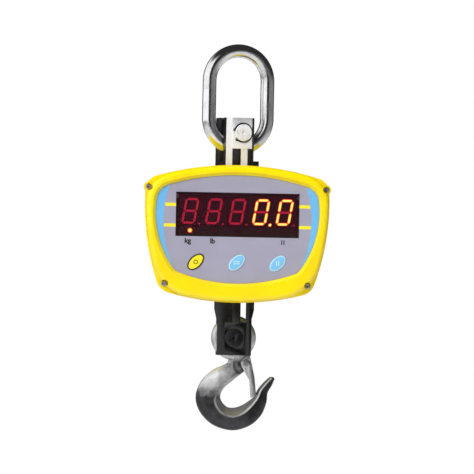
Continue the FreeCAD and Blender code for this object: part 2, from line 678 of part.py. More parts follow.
def rear_case():
    """Moulded rear shell with the fork openings, screw lugs and inner bosses."""
    shell = case_prism((SHELL_FRONT_Y, CASE_BACK_Y), FLANGE_LIP)
    shell = shell.makeFillet(12.0, edges_at_y(shell, CASE_BACK_Y))
    hollow = case_prism((SHELL_FRONT_Y - 1, CASE_BACK_Y - WALL), FLANGE_LIP + WALL)
    hollow = hollow.makeFillet(9.0, edges_at_y(hollow, CASE_BACK_Y - WALL))
    flange_y = (SHELL_FRONT_Y, SHELL_FRONT_Y + FLANGE_T)
    flange = case_prism(flange_y, 0.0).fuse(case_lugs((SHELL_FRONT_Y, SHELL_FRONT_Y + 12)))
    body = shell.fuse(flange).cut(hollow)
    body = body.cut(turned_opening(FORK_W + 4, FORK_D + 4, (CASE_TOP_Z - 12, CASE_TOP_Z + 5)))
    body = body.cut(box((-25, 25), (-25.2, 25.2), (CASE_BOTTOM_Z - 5, CASE_BOTTOM_Z + 12)))
    for z in CELL_BRACKET_Z:
        for x in BACK_SCREW_X:
            body = body.cut(rod_y(x, z, BRACKET_HOLE_R, (30, BEYOND)))
            body = body.cut(rod_y(x, z, BACK_RECESS_R, (CASE_BACK_Y - SINK, BEYOND)))
    for x, z in main_board_screw_places():
        post = rod_y(x, z, 3.5, (MAIN_BOARD[1][1], CASE_BACK_Y - WALL))
        body = body.fuse(post).cut(rod_y(x, z, 1.3, (MAIN_BOARD[1][1], CASE_BACK_Y - WALL - 4)))
    body = body.cut(rod_y(SOCKET_X, SOCKET_Z, SOCKET_R + 0.2, (30, 60)))
    body = body.cut(rod_y(SOCKET_X, SOCKET_Z, SOCKET_FLANGE_R + 0.4, (CASE_BACK_Y - SINK, 60)))
    for sx, sz in corner_screws():
        body = body.cut(rod_y(sx, sz, CASE_SCREW_PILOT_R, (-BEYOND, SHELL_FRONT_Y + 10)))
    return body.removeSplitter()


def case_gasket():
    """Rubber cord squeezed between the two shells."""
    y = (BEZEL_BACK_Y, SHELL_FRONT_Y)
    outer = case_prism(y, FLANGE_LIP + 0.4)
    inner = case_prism((y[0] - 1, y[1] + 1), FLANGE_LIP + WALL - 0.2)
    ring = outer.cut(inner)
    for sx, sz in corner_screws():
        ring = ring.cut(rod_y(sx, sz, 1.9, (-BEYOND, 0)))
    return ring


def case_screws():
    head_y = BEZEL_BACK_Y - FLANGE_T
    return group([bolt(sx, sz, head_y, SHELL_FRONT_Y + 9, CASE_SCREW) for sx, sz in corner_screws()])


def top_seal():
    """Soft collar that closes the gap round the upper fork."""
    z = (CASE_TOP_Z - 7.5, CASE_TOP_Z - SEAL_BELOW)
    outer = turned_opening(FORK_W + 3.8, FORK_D + 3.8, z)
    inner = turned_opening(FORK_W + 0.3, FORK_D + 0.3, (z[0] - 1, z[1] + 1))
    return outer.cut(inner)


def bottom_seal():
    z = (CASE_BOTTOM_Z + SEAL_BELOW, CASE_BOTTOM_Z + 7.5)
    outer = box((-24.9, 24.9), (-25.0, 25.0), z)
    return outer.cut(box((-22.8, 22.8), (-23.2, 23.2), (z[0] - 1, z[1] + 1)))


# ---- panel ----

def window_box(y, grow=0.0):
    half_w = WINDOW_W / 2 + grow
    half_h = WINDOW_H / 2 + grow
    return box((-half_w, half_w), y, (WINDOW_Z - half_h, WINDOW_Z + half_h))


def button_prism(x, y, grow):
    """A slanted oval drawn out along Y."""
    ellipse = Part.Ellipse(V(0, 0, 0), BUTTON_HALF_L + grow, BUTTON_HALF_W + grow)
    face = Part.Face(Part.Wire(ellipse.toShape()))
    solid = face.extrude(V(0, 0, y[1] - y[0]))
    solid.rotate(V(0, 0, 0), Z_AXIS, -BUTTON_SLANT)
    solid.rotate(V(0, 0, 0), V(1, 0, 0), -90)
    solid.translate(V(x, y[0], BUTTON_Z))
    return solid


def panel_plate():
    """Stiff plate behind the printed film; it carries the display board."""
    y = (PANEL_Y, PANEL_Y + PANEL_T)
    body = opening_prism(y, PANEL_OVERLAP)
    body = body.cut(window_box((-60, 0), FIT_GAP))
    for x in BUTTON_X.values():
        body = body.cut(button_prism(x, (-60, -40), FIT_GAP))
    return body


def overlay_film():
    """Printed front film inside the bezel opening."""
    y = (PANEL_Y - FILM_T, PANEL_Y)
    body = opening_prism(y, -FIT_GAP)
    body = body.cut(window_box((-60, 0), FIT_GAP))
    for x in BUTTON_X.values():
        body = body.cut(button_prism(x, (-60, -40), FIT_GAP))
    return body


def display_window():
    """Dark red filter in front of the digits, with a broken front edge."""
    front = PANEL_Y - FILM_T - WINDOW_PROUD
    pane = window_box((front, PANEL_Y + PANEL_T))
    return pane.makeChamfer(0.3, edges_at_y(pane, front))


def key_cap(x):
    """Push button: domed oval cap, retaining skirt and stem."""
    front = PANEL_Y - FILM_T - BUTTON_PROUD
    back = PANEL_Y + PANEL_T
    cap = button_prism(x, (front, back + 0.2), 0.0)
    cap = cap.makeFillet(0.9, edges_at_y(cap, front))
    skirt = button_prism(x, (back + 0.2, back + 1.2), 1.2)
    stem = rod_y(x, BUTTON_Z, 2.4, (back + 1.2, SWITCH_TOP_Y - BUTTON_TRAVEL - 0.3))
    return join([cap, skirt, stem])


def button_switches():
    """Tact switches under the buttons."""
    shapes = []
    for x in BUTTON_X.values():
        case = box((x - 3, x + 3), (BOARD_FRONT_Y - 3.6, BOARD_FRONT_Y), (BUTTON_Z - 3, BUTTON_Z + 3))
        plunger = rod_y(x, BUTTON_Z, 1.7, (SWITCH_TOP_Y, BOARD_FRONT_Y - 3.6))
        shapes.append(case.fuse(plunger).removeSplitter())
    return group(shapes)


def display_board():
    y = (BOARD_FRONT_Y, BOARD_FRONT_Y + BOARD_T)
    board = box((-BOARD_X, BOARD_X), y, BOARD_Z)
    for x, z in STANDOFF_AT:
        board = board.cut(rod_y(x, WINDOW_Z + z, 1.6, (-60, 0)))
    return board


def board_standoffs():
    y = (PANEL_Y + PANEL_T, BOARD_FRONT_Y)
    shapes = []
    for x, z in STANDOFF_AT:
        post = rod_y(x, WINDOW_Z + z, 2.6, y).cut(rod_y(x, WINDOW_Z + z, 1.2, (y[1] - 6, y[1])))
        shapes.append(post)
    return group(shapes)


def board_screws():
    head_y = BOARD_FRONT_Y + BOARD_T
    return group([bolt(x, WINDOW_Z + z, head_y, BOARD_FRONT_Y - 5, DISPLAY_SCREW) for x, z in STANDOFF_AT])


def led_digit(index):
    """One seven-segment module, counted from the left."""
    x = (index - 3) * DIGIT_PITCH
    w, d, h = DIGIT_PACKAGE
    body = box((x - w / 2, x + w / 2), (BOARD_FRONT_Y - d, BOARD_FRONT_Y), (DIGIT_Z - h / 2, DIGIT_Z + h / 2))
    return body.makeChamfer(0.4, edges_at_y(body, BOARD_FRONT_Y - d))


def status_leds():
    """Four small round lamps in a row under the digits."""
    shapes = []
    for step in (-2, -1, 1, 2):
        x = step * DIGIT_PITCH
        base = rod_y(x, LED_ROW_Z, 1.5, (BOARD_FRONT_Y - 6, BOARD_FRONT_Y))
        shapes.append(base.fuse(Part.makeSphere(1.5, V(x, BOARD_FRONT_Y - 6, LED_ROW_Z))).removeSplitter())
    return group(shapes)


def remote_receiver():
    """Infrared receiver for the hand-held remote."""
    return box((-3, 3), (BOARD_FRONT_Y - 5, BOARD_FRONT_Y), (LED_ROW_Z - 2.4, LED_ROW_Z + 2.4))


# ---- electronics and power in the rear case ----

def main_board_screw_places():
    (x0, x1), _, (z0, z1) = MAIN_BOARD
    return [(x, z) for x in (x0 + 4, x1 - 4) for z in (z0 + 4, z1 - 4)]


def main_board():
    board = box(*MAIN_BOARD)
    for x, z in main_board_screw_places():
        board = board.cut(rod_y(x, z, 1.5, (0, 40)))
    return board


def main_board_parts():
    """Connector, converter, relay-sized regulator and screening can on the main board."""
    (x0, x1), (y0, _), (z0, z1) = MAIN_BOARD
    sizes = ((x0 + 12, z1 - 16, 18, 8, 10), (x0 + 10, z0 + 26, 22, 18, 4), (x0 + 38, z0 + 30, 9, 20, 12),
             (x0 + 12, z0 + 8, 30, 8, 9))
    return group([box((x, x + w), (y0 - d, y0), (z, z + h)) for x, z, w, h, d in sizes])


def main_board_screws():
    y0 = MAIN_BOARD[1][0]
    return group([bolt(x, z, y0, y0 + 8, MAIN_BOARD_SCREW) for x, z in main_board_screw_places()])


def battery():
    """Sealed rechargeable block with a lid line."""
    (x0, x1), (y0, y1), (z0, z1) = BATTERY
    lid_z = z1 - 6
    body = box((x0, x1), (y0, y1), (z0, lid_z))
    upright = [e for e in body.Edges if abs(e.tangentAt(e.FirstParameter).z) > 0.99]
    body = body.makeFillet(1.5, upright)
    return body.fuse(box((x0 + 0.8, x1 - 0.8), (y0 + 0.8, y1 - 0.8), (lid_z, z1))).removeSplitter()


def battery_terminals():
    (x0, x1), (y0, y1), (_, z1) = BATTERY
    mid_y = (y0 + y1) / 2
    return group([box((x - 2.4, x + 2.4), (mid_y - 0.4, mid_y + 0.4), (z1, z1 + 6.5))
                  for x in (x0 + 14, x1 - 14)])


def battery_strap():
    """Folded strap that clamps the battery to the back of the case."""
    (x0, x1), (y0, y1), (z0, z1) = BATTERY
    z = ((z0 + z1) / 2 - 9, (z0 + z1) / 2 + 9)
    t = 1.5
    wall_y = CASE_BACK_Y - WALL
    front = box((x0 - t, x1 + t), (y0 - t, y0), z)
    left = box((x0 - t, x0), (y0, wall_y), z)
    right = box((x1, x1 + t), (y0, y1 - 2), z)
    return join([front, left, right])


def battery_pad():
    """Foam pad between the battery and the case."""
    (x0, x1), (_, y1), (z0, z1) = BATTERY
    return box((x0 + 6, x1 - 6), (y1, CASE_BACK_Y - WALL), (z0 + 12, z1 - 12))


def charge_socket():
    """Charging socket in the lower part of the back."""
    barrel = rod_y(SOCKET_X, SOCKET_Z, SOCKET_R, (30, CASE_BACK_Y - SINK))
    flange = rod_y(SOCKET_X, SOCKET_Z, SOCKET_FLANGE_R, (CASE_BACK_Y - SINK, CASE_BACK_Y - 0.4))
    body = barrel.fuse(flange).cut(rod_y(SOCKET_X, SOCKET_Z, 2.9, (33, 60)))
    return body.fuse(rod_y(SOCKET_X, SOCKET_Z, 1.0, (33, CASE_BACK_Y - SINK))).removeSplitter()


def charge_socket_nut():
    y = (CASE_BACK_Y - WALL - 2.5, CASE_BACK_Y - WALL)
    flats = [(SOCKET_X + 8 * math.cos(math.radians(a)), SOCKET_Z + 8 * math.sin(math.radians(a)))
             for a in range(0, 360, 60)]
    return plate(flats, y).cut(rod_y(SOCKET_X, SOCKET_Z, SOCKET_R + 0.05, (30, 60)))


def cell_cable():
    """Screened lead from the load cell's side to the connector on the main board."""
    (x0, _), (y0, _), (_, z1) = MAIN_BOARD
    start = V(CELL_W / 2, 0, CELL_MID_Z)
    bend = CABLE_BEND
    knee = V(CELL_W / 2 + bend, 0, CELL_MID_Z + bend)
    top = V(knee.x, 0, z1 - 12 - bend)
    end = V(x0 + 12, 0, z1 - 12)
    first = Part.Arc(start, V(start.x + bend * math.sin(math.pi / 4), 0,
                              start.z + bend * (1 - math.cos(math.pi / 4))), knee)
    last = Part.Arc(top, V(top.x + bend * (1 - math.cos(math.pi / 4)), 0,
                           top.z + bend * math.sin(math.pi / 4)), V(top.x + bend, 0, end.z))
    path = Part.Wire([first.toShape(), Part.makeLine(knee, top), last.toShape(),
                      Part.makeLine(V(top.x + bend, 0, end.z), end)])
    section = Part.Wire(Part.makeCircle(CABLE_R, start, V(1, 0, 0)))
    return path.makePipeShell([section], True, True)


def write_all():
    os.makedirs("parts", exist_ok=True)
    single = (
        master_link, upper_clevis, upper_pin, upper_pin_rings, lower_clevis, lower_pin, lower_pin_ring,
        load_cell, gauge_covers, cell_cross_pins, cell_brackets, cell_bracket_screws,
        hook, hook_latch, latch_rivet, latch_spring,
        front_bezel, rear_case, case_gasket, case_screws, top_seal, bottom_seal,
        panel_plate, overlay_film, display_window, button_switches, display_board,
        board_standoffs, board_screws, status_leds, remote_receiver,
        main_board, main_board_parts, main_board_screws, battery, battery_terminals, battery_strap,
        battery_pad, charge_socket, charge_socket_nut, cell_cable,
    )
    for make in single:
        save(make.__name__, make())
    for name, x in BUTTON_X.items():
        save(name, key_cap(x))
    for index in range(1, 6):
        save("led_digit_" + str(index), led_digit(index))


write_all()
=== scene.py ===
import bmesh
import bpy
import json
import math
from mathutils import Matrix, Vector
from mathutils.kdtree import KDTree

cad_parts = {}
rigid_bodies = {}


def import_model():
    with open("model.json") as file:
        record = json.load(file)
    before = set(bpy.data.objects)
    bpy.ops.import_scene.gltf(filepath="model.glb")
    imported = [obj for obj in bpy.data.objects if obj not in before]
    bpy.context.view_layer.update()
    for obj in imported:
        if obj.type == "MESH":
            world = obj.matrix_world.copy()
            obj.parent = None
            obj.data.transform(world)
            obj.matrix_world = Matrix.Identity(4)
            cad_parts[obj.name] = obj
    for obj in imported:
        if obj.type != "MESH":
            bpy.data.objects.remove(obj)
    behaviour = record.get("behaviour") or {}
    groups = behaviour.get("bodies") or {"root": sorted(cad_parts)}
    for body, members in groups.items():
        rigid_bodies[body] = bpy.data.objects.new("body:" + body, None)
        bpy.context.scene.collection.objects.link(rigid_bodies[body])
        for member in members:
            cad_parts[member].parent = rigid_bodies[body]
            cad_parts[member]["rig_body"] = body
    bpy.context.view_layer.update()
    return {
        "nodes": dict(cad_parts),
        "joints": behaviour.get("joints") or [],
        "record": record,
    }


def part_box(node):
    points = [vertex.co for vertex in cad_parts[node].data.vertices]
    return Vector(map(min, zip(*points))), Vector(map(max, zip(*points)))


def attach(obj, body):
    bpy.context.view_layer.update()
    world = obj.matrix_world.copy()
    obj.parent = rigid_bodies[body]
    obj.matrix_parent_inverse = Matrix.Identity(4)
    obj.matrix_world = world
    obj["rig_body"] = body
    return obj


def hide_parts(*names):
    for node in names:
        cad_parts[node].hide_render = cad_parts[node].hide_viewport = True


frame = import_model()
joint_of = {joint["name"]: joint for joint in frame["joints"]}

MM = 0.001

# brightness of the surroundings that the metal reflects
LEFT_SCREEN = 1.15
RIGHT_SCREEN = 0.30
TABLE = 0.30
DIM = 0.03

# sizes that the frame doesn't give
LINK_WIRE_R = 8 * MM
LINK_INNER_W = 54.5 * MM
EYE_BORE_R = 10.15 * MM
RIVET_BORE_R = 2.5 * MM
WINDOW_BELOW_TOP = 57.9    # mm, middle of the window below the top of the case
DIGIT_SLANT = math.tan(math.radians(10))
DIGIT_W = 16.2 * MM
DIGIT_H = 30.0 * MM
BUTTON_HALF_L = 11.5 * MM
BUTTON_HALF_W = 6.9 * MM
BUTTON_SLANT = math.radians(45)
STEM_R = 2.4 * MM
PRINT_UNDER = 0.02 * MM    # how far a printed area reaches into the film
PRINT_RISE = 0.06 * MM     # and how far it stands out

# ---- places taken from the frame ----
window_lo, window_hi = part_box("display_window")
WINDOW_Z = (window_lo.z + window_hi.z) / 2
FILM_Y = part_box("overlay_film")[0].y
CASE_TOP = WINDOW_Z + WINDOW_BELOW_TOP * MM
HOOK_PIVOT = Vector(joint_of["hook_pivot"]["pos_m"])
LINK_PIVOT = Vector(joint_of["link_pivot"]["pos_m"])
LINK_AXIS = Vector(joint_of["link_pivot"]["axis"])
LINK_TURN = math.atan2(-LINK_AXIS.x, LINK_AXIS.y)
LATCH_PIVOT = Vector(joint_of["latch_pivot"]["pos_m"])


# ---- mesh helpers ----

def new_object(name, mesh, material, smooth=True):
    for polygon in mesh.polygons:
        polygon.use_smooth = smooth
    obj = bpy.data.objects.new(name, mesh)
    bpy.context.scene.collection.objects.link(obj)
    if material:
        obj.data.materials.append(material)
    return obj


def mesh_from(bm, name):
    bmesh.ops.recalc_face_normals(bm, faces=bm.faces)
    mesh = bpy.data.meshes.new(name)
    bm.to_mesh(mesh)
    bm.free()
    return mesh


def place(obj, body, node=None):
    """Every new piece says what it rides on and what it stands for."""
    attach(obj, body)
    if node:
        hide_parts(node)


def apply_modifiers(obj):
    graph = bpy.context.evaluated_depsgraph_get()
    graph.update()
    mesh = bpy.data.meshes.new_from_object(obj.evaluated_get(graph))
    obj.modifiers.clear()
    obj.data = mesh


def skin_rings(rings, name, closed=False):
    """Quads between consecutive rings of points; the run is capped, or closed on itself."""
    bm = bmesh.new()
    rows = [[bm.verts.new(p) for p in ring] for ring in rings]
    count = len(rows[0])
    steps = len(rows) if closed else len(rows) - 1
    for i in range(steps):
        a = rows[i]
        b = rows[(i + 1) % len(rows)]
        for k in range(count):
            n = (k + 1) % count
            bm.faces.new((a[k], a[n], b[n], b[k]))
    if not closed:
        bm.faces.new(rows[0])
        bm.faces.new(rows[-1])
    return mesh_from(bm, name)


def circle(x, z, radius, count):
    """Corners of a round outline in the XZ plane."""
    turns = [2 * math.pi * i / count for i in range(count)]
    return [(x + radius * math.cos(a), z + radius * math.sin(a)) for a in turns]


def rectangle(x0, x1, z0, z1):
    return [(x0, z0), (x1, z0), (x1, z1), (x0, z1)]


def flat_bar(bm, corners, y_back, y_front):
    """A thin closed prism standing on an XZ outline."""
    back = [bm.verts.new((x, y_back, z)) for x, z in corners]
    front = [bm.verts.new((x, y_front, z)) for x, z in corners]
    count = len(corners)
    bm.faces.new(back)
    bm.faces.new(front)
    for k in range(count):
        n = (k + 1) % count
        bm.faces.new((back[k], back[n], front[n], front[k]))


def spline(points, per_span):
    """Catmull-Rom samples through a list of equal-length tuples."""
    out = []
    last = len(points) - 1
    for i in range(last):
        p0 = points[max(i - 1, 0)]
        p1 = points[i]
        p2 = points[i + 1]
        p3 = points[min(i + 2, last)]
        for s in range(per_span):
            t = s / per_span
            sample = []
            for a, b, c, d in zip(p0, p1, p2, p3):
                square = (2 * a - 5 * b + 4 * c - d) * t * t
                cube = (3 * b - a - 3 * c + d) * t * t * t
                sample.append(0.5 * (2 * b + (c - a) * t + square + cube))
            out.append(tuple(sample))
    out.append(points[-1])
    return out


def softened(node, width, slot):
    """A copy of a CAD node with small rounded edges; the copy stands for the node."""
    source = frame["nodes"][node]
    bm = bmesh.new()
    bm.from_mesh(source.data)
    bmesh.ops.remove_doubles(bm, verts=bm.verts, dist=2e-6)
    bmesh.ops.dissolve_limit(bm, angle_limit=math.radians(1.0), verts=bm.verts, edges=bm.edges)
    obj = new_object(node + "_finish", mesh_from(bm, node + "_finish"), mat[slot])
    bevel = obj.modifiers.new("edge", "BEVEL")
    bevel.width = width
    bevel.segments = 2
    bevel.limit_method = "ANGLE"
    bevel.angle_limit = math.radians(32)
    bevel.harden_normals = True
    bevel.use_clamp_overlap = True
    apply_modifiers(obj)
    place(obj, source["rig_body"], node)


# ---- material helpers ----

def math_node(nodes, links, operation, a, b):
    """A Math node; each input is a number or a socket."""
    node = nodes.new("ShaderNodeMath")
    node.operation = operation
    for socket, value in zip(node.inputs, (a, b)):
        if isinstance(value, (int, float)):
            socket.default_value = value
        else:
            links.new(value, socket)
    return node.outputs["Value"]


class Finish:
    """One node material, built up from object-space patterns."""

    def __init__(self, name, color, metallic=0.0, roughness=0.4):
        self.material = bpy.data.materials.new(name)
        self.material.use_nodes = True
        tree = self.material.node_tree
        self.nodes = tree.nodes
        self.links = tree.links
        self.shader = self.nodes["Principled BSDF"]
        self.shader.inputs["Base Color"].default_value = (*color, 1)
        self.shader.inputs["Metallic"].default_value = metallic
        self.shader.inputs["Roughness"].default_value = roughness
        self.coords = self.nodes.new("ShaderNodeTexCoord").outputs["Object"]

    def stretched(self, scale=(1, 1, 1), turn=(0, 0, 0)):
        node = self.nodes.new("ShaderNodeMapping")
        node.inputs["Scale"].default_value = scale
        node.inputs["Rotation"].default_value = turn
        self.links.new(self.coords, node.inputs["Vector"])
        return node.outputs["Vector"]

    def noise(self, scale, detail=3.0, roughness=0.55, vector=None):
        node = self.nodes.new("ShaderNodeTexNoise")
        node.inputs["Scale"].default_value = scale
        node.inputs["Detail"].default_value = detail
        node.inputs["Roughness"].default_value = roughness
        self.links.new(vector or self.coords, node.inputs["Vector"])
        return node.outputs["Fac"]

    def cells(self, scale):
        node = self.nodes.new("ShaderNodeTexVoronoi")
        node.inputs["Scale"].default_value = scale
        self.links.new(self.coords, node.inputs["Vector"])
        return node.outputs["Distance"]

    def span(self, value, low, high, to_low=0.0, to_high=1.0):
        node = self.nodes.new("ShaderNodeMapRange")
        node.inputs["From Min"].default_value = low
        node.inputs["From Max"].default_value = high
        node.inputs["To Min"].default_value = to_low
        node.inputs["To Max"].default_value = to_high
        self.links.new(value, node.inputs["Value"])
        return node.outputs["Result"]

    def math(self, operation, a, b):
        return math_node(self.nodes, self.links, operation, a, b)

    def distance(self, point):
        node = self.nodes.new("ShaderNodeVectorMath")
        node.operation = "DISTANCE"
        node.inputs[1].default_value = point
        self.links.new(self.coords, node.inputs[0])
        return node.outputs["Value"]

    def attribute(self, name):
        """A value stored on the mesh's points."""
        node = self.nodes.new("ShaderNodeAttribute")
        node.attribute_name = name
        return node.outputs["Fac"]

    def blend(self, factor, low, high):
        """A colour between two colours or colour sockets."""
        node = self.nodes.new("ShaderNodeMix")
        node.data_type = "RGBA"
        for socket, value in ((node.inputs[6], low), (node.inputs[7], high)):
            if isinstance(value, tuple):
                socket.default_value = (*value, 1)
            else:
                self.links.new(value, socket)
        self.links.new(factor, node.inputs[0])
        return node.outputs[2]

    def set(self, name, value):
        self.links.new(value, self.shader.inputs[name])

    def bump(self, height, strength, depth):
        node = self.nodes.new("ShaderNodeBump")
        node.inputs["Strength"].default_value = strength
        node.inputs["Distance"].default_value = depth
        self.links.new(height, node.inputs["Height"])
        previous = self.shader.inputs["Normal"]
        if previous.is_linked:
            self.links.new(previous.links[0].from_socket, node.inputs["Normal"])
        self.links.new(node.outputs["Normal"], previous)


def polished_steel(name, tone, worn, dull):
    """Plated round bar: bright, with dull patches, fine pits and faint drawing marks."""
    finish = Finish(name, (tone, tone, tone * 1.02), 1.0, worn)
    patches = finish.noise(60, 4, 0.6)
    marks = finish.noise(900, 2, 0.5, finish.stretched((1, 1, 0.12)))
    pits = finish.cells(420)
    patchy = finish.span(patches, 0.42, 0.72, worn, dull)
    finish.set("Roughness", finish.math("ADD", patchy, finish.span(marks, 0.3, 0.8, 0.0, 0.05)))
    stained = finish.span(patches, 0.45, 0.75)
    finish.set("Base Color", finish.blend(stained, (tone, tone, tone * 1.02), (tone * 0.72,) * 3))
    finish.bump(finish.span(pits, 0.0, 0.16), 0.25, 0.12 * MM)
    finish.bump(finish.noise(130, 3), 0.16, 0.6 * MM)
    return finish.material


def milled_steel(name, tone, low, high, grain=(1, 1, 14)):
    """Flat machined faces: close parallel tool marks and light handling stains."""
    finish = Finish(name, (tone, tone, tone), 1.0, low)
    marks = finish.noise(420, 3, 0.6, finish.stretched(grain))
    stains = finish.noise(45, 5, 0.6)
    tooth = finish.span(marks, 0.3, 0.7, low, high)
    finish.set("Roughness", finish.math("ADD", tooth, finish.span(stains, 0.5, 0.8, 0.0, 0.12)))
    stained = finish.span(stains, 0.42, 0.78)
    finish.set("Base Color", finish.blend(stained, (tone, tone, tone * 1.01), (tone * 0.8,) * 3))
    finish.bump(marks, 0.12, 0.1 * MM)
    return finish.material


def forged_steel(name):
    """Plated forging: grainy dark skin, a painted highlight on the flank and round the eye, worn ridges
    that also carry a painted highlight, and a paler saddle.
    """
    finish = Finish(name, (0.3, 0.3, 0.3), 1.0, 0.3)
    patch = finish.noise(55, 5, 0.65)
    # painted highlight: a bright patch on the flank and a bright ring round the eye
    flank_middle = HOOK_PIVOT + Vector((-23, 0, -39)) * MM
    ragged = finish.span(patch, 0.3, 0.7, -8 * MM, 8 * MM)
    from_flank = finish.math("ADD", finish.distance(flank_middle), ragged)
    ragged = finish.span(patch, 0.3, 0.7, -2 * MM, 2 * MM)
    from_eye = finish.math("ADD", finish.distance(HOOK_PIVOT), ragged)
    flank_highlight = finish.span(from_flank, 10 * MM, 34 * MM, 0.95, 0.0)
    eye = finish.span(from_eye, 24 * MM, 31 * MM, 0.75, 0.0)
    bright = finish.math("MAXIMUM", flank_highlight, eye)
    # the ridge mark is part edge wear, part painted highlight
    worn = finish.math("MULTIPLY", finish.attribute("ridge_wear_and_highlight"),
                       finish.span(patch, 0.30, 0.55, 0.55, 1.0))
    saddle = finish.math("MULTIPLY", finish.attribute("saddle"),
                         finish.span(patch, 0.25, 0.65, 1.0, 0.6))
    skin = finish.blend(finish.span(patch, 0.35, 0.7), (0.085, 0.085, 0.09), (0.03, 0.03, 0.034))
    # the painted highlight of flank and eye goes into the skin colour
    skin = finish.blend(bright, skin, (0.95, 0.95, 0.96))
    skin = finish.blend(saddle, skin, (0.42, 0.42, 0.43))
    finish.set("Base Color", finish.blend(worn, skin, (0.92, 0.92, 0.93)))
    grain = finish.noise(700, 4, 0.7)
    grainy = finish.span(grain, 0.3, 0.7, 0.26, 0.40)
    finish.set("Roughness", finish.math("ADD", grainy, finish.span(worn, 0, 1, 0.0, 0.08)))
    # less metallic under the painted highlight, on the worn ridges and on the saddle
    highlight_wear_and_saddle = finish.math("MAXIMUM", worn, finish.math("MAXIMUM", bright, saddle))
    finish.set("Metallic", finish.span(highlight_wear_and_saddle, 0.0, 1.0, 1.0, 0.62))
    finish.bump(finish.math("MULTIPLY", grain, finish.span(worn, 0, 1, 1.0, 0.3)), 0.5, 0.4 * MM)
    finish.bump(finish.noise(150, 3), 0.3, 0.8 * MM)
    return finish.material


def fork_finish(name, bright, side, metallic):
    """Machined fork: ground front and rear in near white, a painted reflection; painted shade on the
    sides, in the pockets and along the right edge; a painted dark reflection on the block top.
    """
    finish = Finish(name, bright, metallic, 0.3)
    split = finish.nodes.new("ShaderNodeSeparateXYZ")
    finish.links.new(finish.stretched(turn=(0, 0, -LINK_TURN)), split.inputs["Vector"])
    x, y, z = split.outputs
    # painted shade: everything deeper than the two ground faces, on the sides and in the pockets, is
    # dark
    painted_shade_deep = finish.span(finish.math("ABSOLUTE", y, 0.0), 21.2 * MM, 21.6 * MM, 1.0, 0.0)
    # painted shade: a dark line along the right edge, on the front half
    painted_shade_right_edge = finish.span(x, 10.8 * MM, 11.1 * MM)
    front_half = finish.span(y, 0.0, 1.0 * MM, 1.0, 0.0)
    dark = finish.math("MAXIMUM", painted_shade_deep, finish.math("MULTIPLY", painted_shade_right_edge, front_half))
    # This noise breaks up both the real stains and the painted dark reflection on the block top.
    stain_and_reflection_noise = finish.noise(60, 5, 0.6)
    # painted dark reflection: the block darkens towards its top
    high = finish.span(z, LINK_PIVOT.z + 4 * MM, LINK_PIVOT.z + 18 * MM)
    block = finish.math("MULTIPLY", high, finish.span(x, -13.1 * MM, -12.9 * MM))
    toned = tuple(c * 0.42 for c in bright)
    painted_reflection_top = finish.math("MULTIPLY", block, finish.span(stain_and_reflection_noise, 0.3, 0.6, 0.6, 1.0))
    face = finish.blend(painted_reflection_top, bright, toned)
    face = finish.blend(finish.span(stain_and_reflection_noise, 0.55, 0.8, 0.0, 0.5), face, toned)
    # the painted shade of sides, pockets and right edge takes the side colour
    finish.set("Base Color", finish.blend(dark, face, side))
    finish.set("Metallic", finish.span(dark, 0, 1, metallic, 1.0))
    marks = finish.noise(420, 3, 0.6, finish.stretched((1, 1, 14)))
    tooth = finish.span(marks, 0.3, 0.7, 0.26, 0.38)
    finish.set("Roughness", finish.math("ADD", tooth, finish.span(stain_and_reflection_noise, 0.5, 0.8, 0.0, 0.1)))
    finish.bump(marks, 0.14, 0.1 * MM)
    finish.bump(finish.noise(1200, 3), 0.15, 0.1 * MM)
    return finish.material


def ground_end(name, tone, metallic, shade):
    """Ground bar end: a fine tooth and a few dull spots."""
    finish = Finish(name, tone, metallic, 0.3)
    spots = finish.noise(160, 4, 0.6)
    finish.set("Base Color", finish.blend(finish.span(spots, 0.45, 0.75), tone, shade))
    finish.set("Roughness", finish.span(spots, 0.3, 0.7, 0.24, 0.38))
    finish.bump(finish.noise(1500, 2), 0.15, 0.1 * MM)
    return finish.material


def moulded_plastic(name, color, shade, roughness, peel=0.12, grain=0.0, coat=0.25):
    """Gloss moulding: slight colour drift, soft waviness, dust-dulled patches and fine scuffs."""
    finish = Finish(name, color, 0.0, roughness)
    drift = finish.noise(22, 4, 0.5)
    finish.set("Base Color", finish.blend(finish.span(drift, 0.35, 0.75), color, shade))
    scuffs = finish.noise(260, 5, 0.75, finish.stretched((1.0, 1.0, 3.0)))
    dusty = finish.span(drift, 0.3, 0.75, roughness, roughness + 0.12)
    finish.set("Roughness", finish.math("ADD", dusty, finish.span(scuffs, 0.62, 0.75, 0.0, 0.12)))
    finish.bump(finish.noise(240, 2), peel, 0.3 * MM)
    if grain:
        finish.bump(finish.noise(1700, 2, 0.7), grain, 0.2 * MM)
    finish.shader.inputs["Coat Weight"].default_value = coat
    finish.shader.inputs["Coat Roughness"].default_value = 0.12
    return finish.material


def plain_matter(name, color, shade, roughness):
    """Small parts: mottled colour and roughness with a fine tooth."""
    finish = Finish(name, color, 0.0, roughness)
    mottle = finish.noise(300, 4, 0.6)
    finish.set("Base Color", finish.blend(finish.span(mottle, 0.35, 0.7), color, shade))
    finish.set("Roughness", finish.span(mottle, 0.3, 0.7, roughness, min(roughness + 0.15, 1.0)))
    finish.bump(finish.noise(1200, 2), 0.1, 0.2 * MM)
    return finish.material


def printed_film(name, color):
    """Screen-printed film with a velvet grain."""
    finish = Finish(name, color, 0.0, 0.5)
    shade = tuple(c * 0.93 for c in color)
    drift = finish.noise(30, 3)
    finish.set("Base Color", finish.blend(finish.span(drift, 0.35, 0.7), color, shade))
    finish.set("Roughness", finish.span(finish.noise(500, 3), 0.3, 0.7, 0.42, 0.56))
    finish.bump(finish.noise(2600, 2, 0.7), 0.22, 0.12 * MM)
    return finish.material


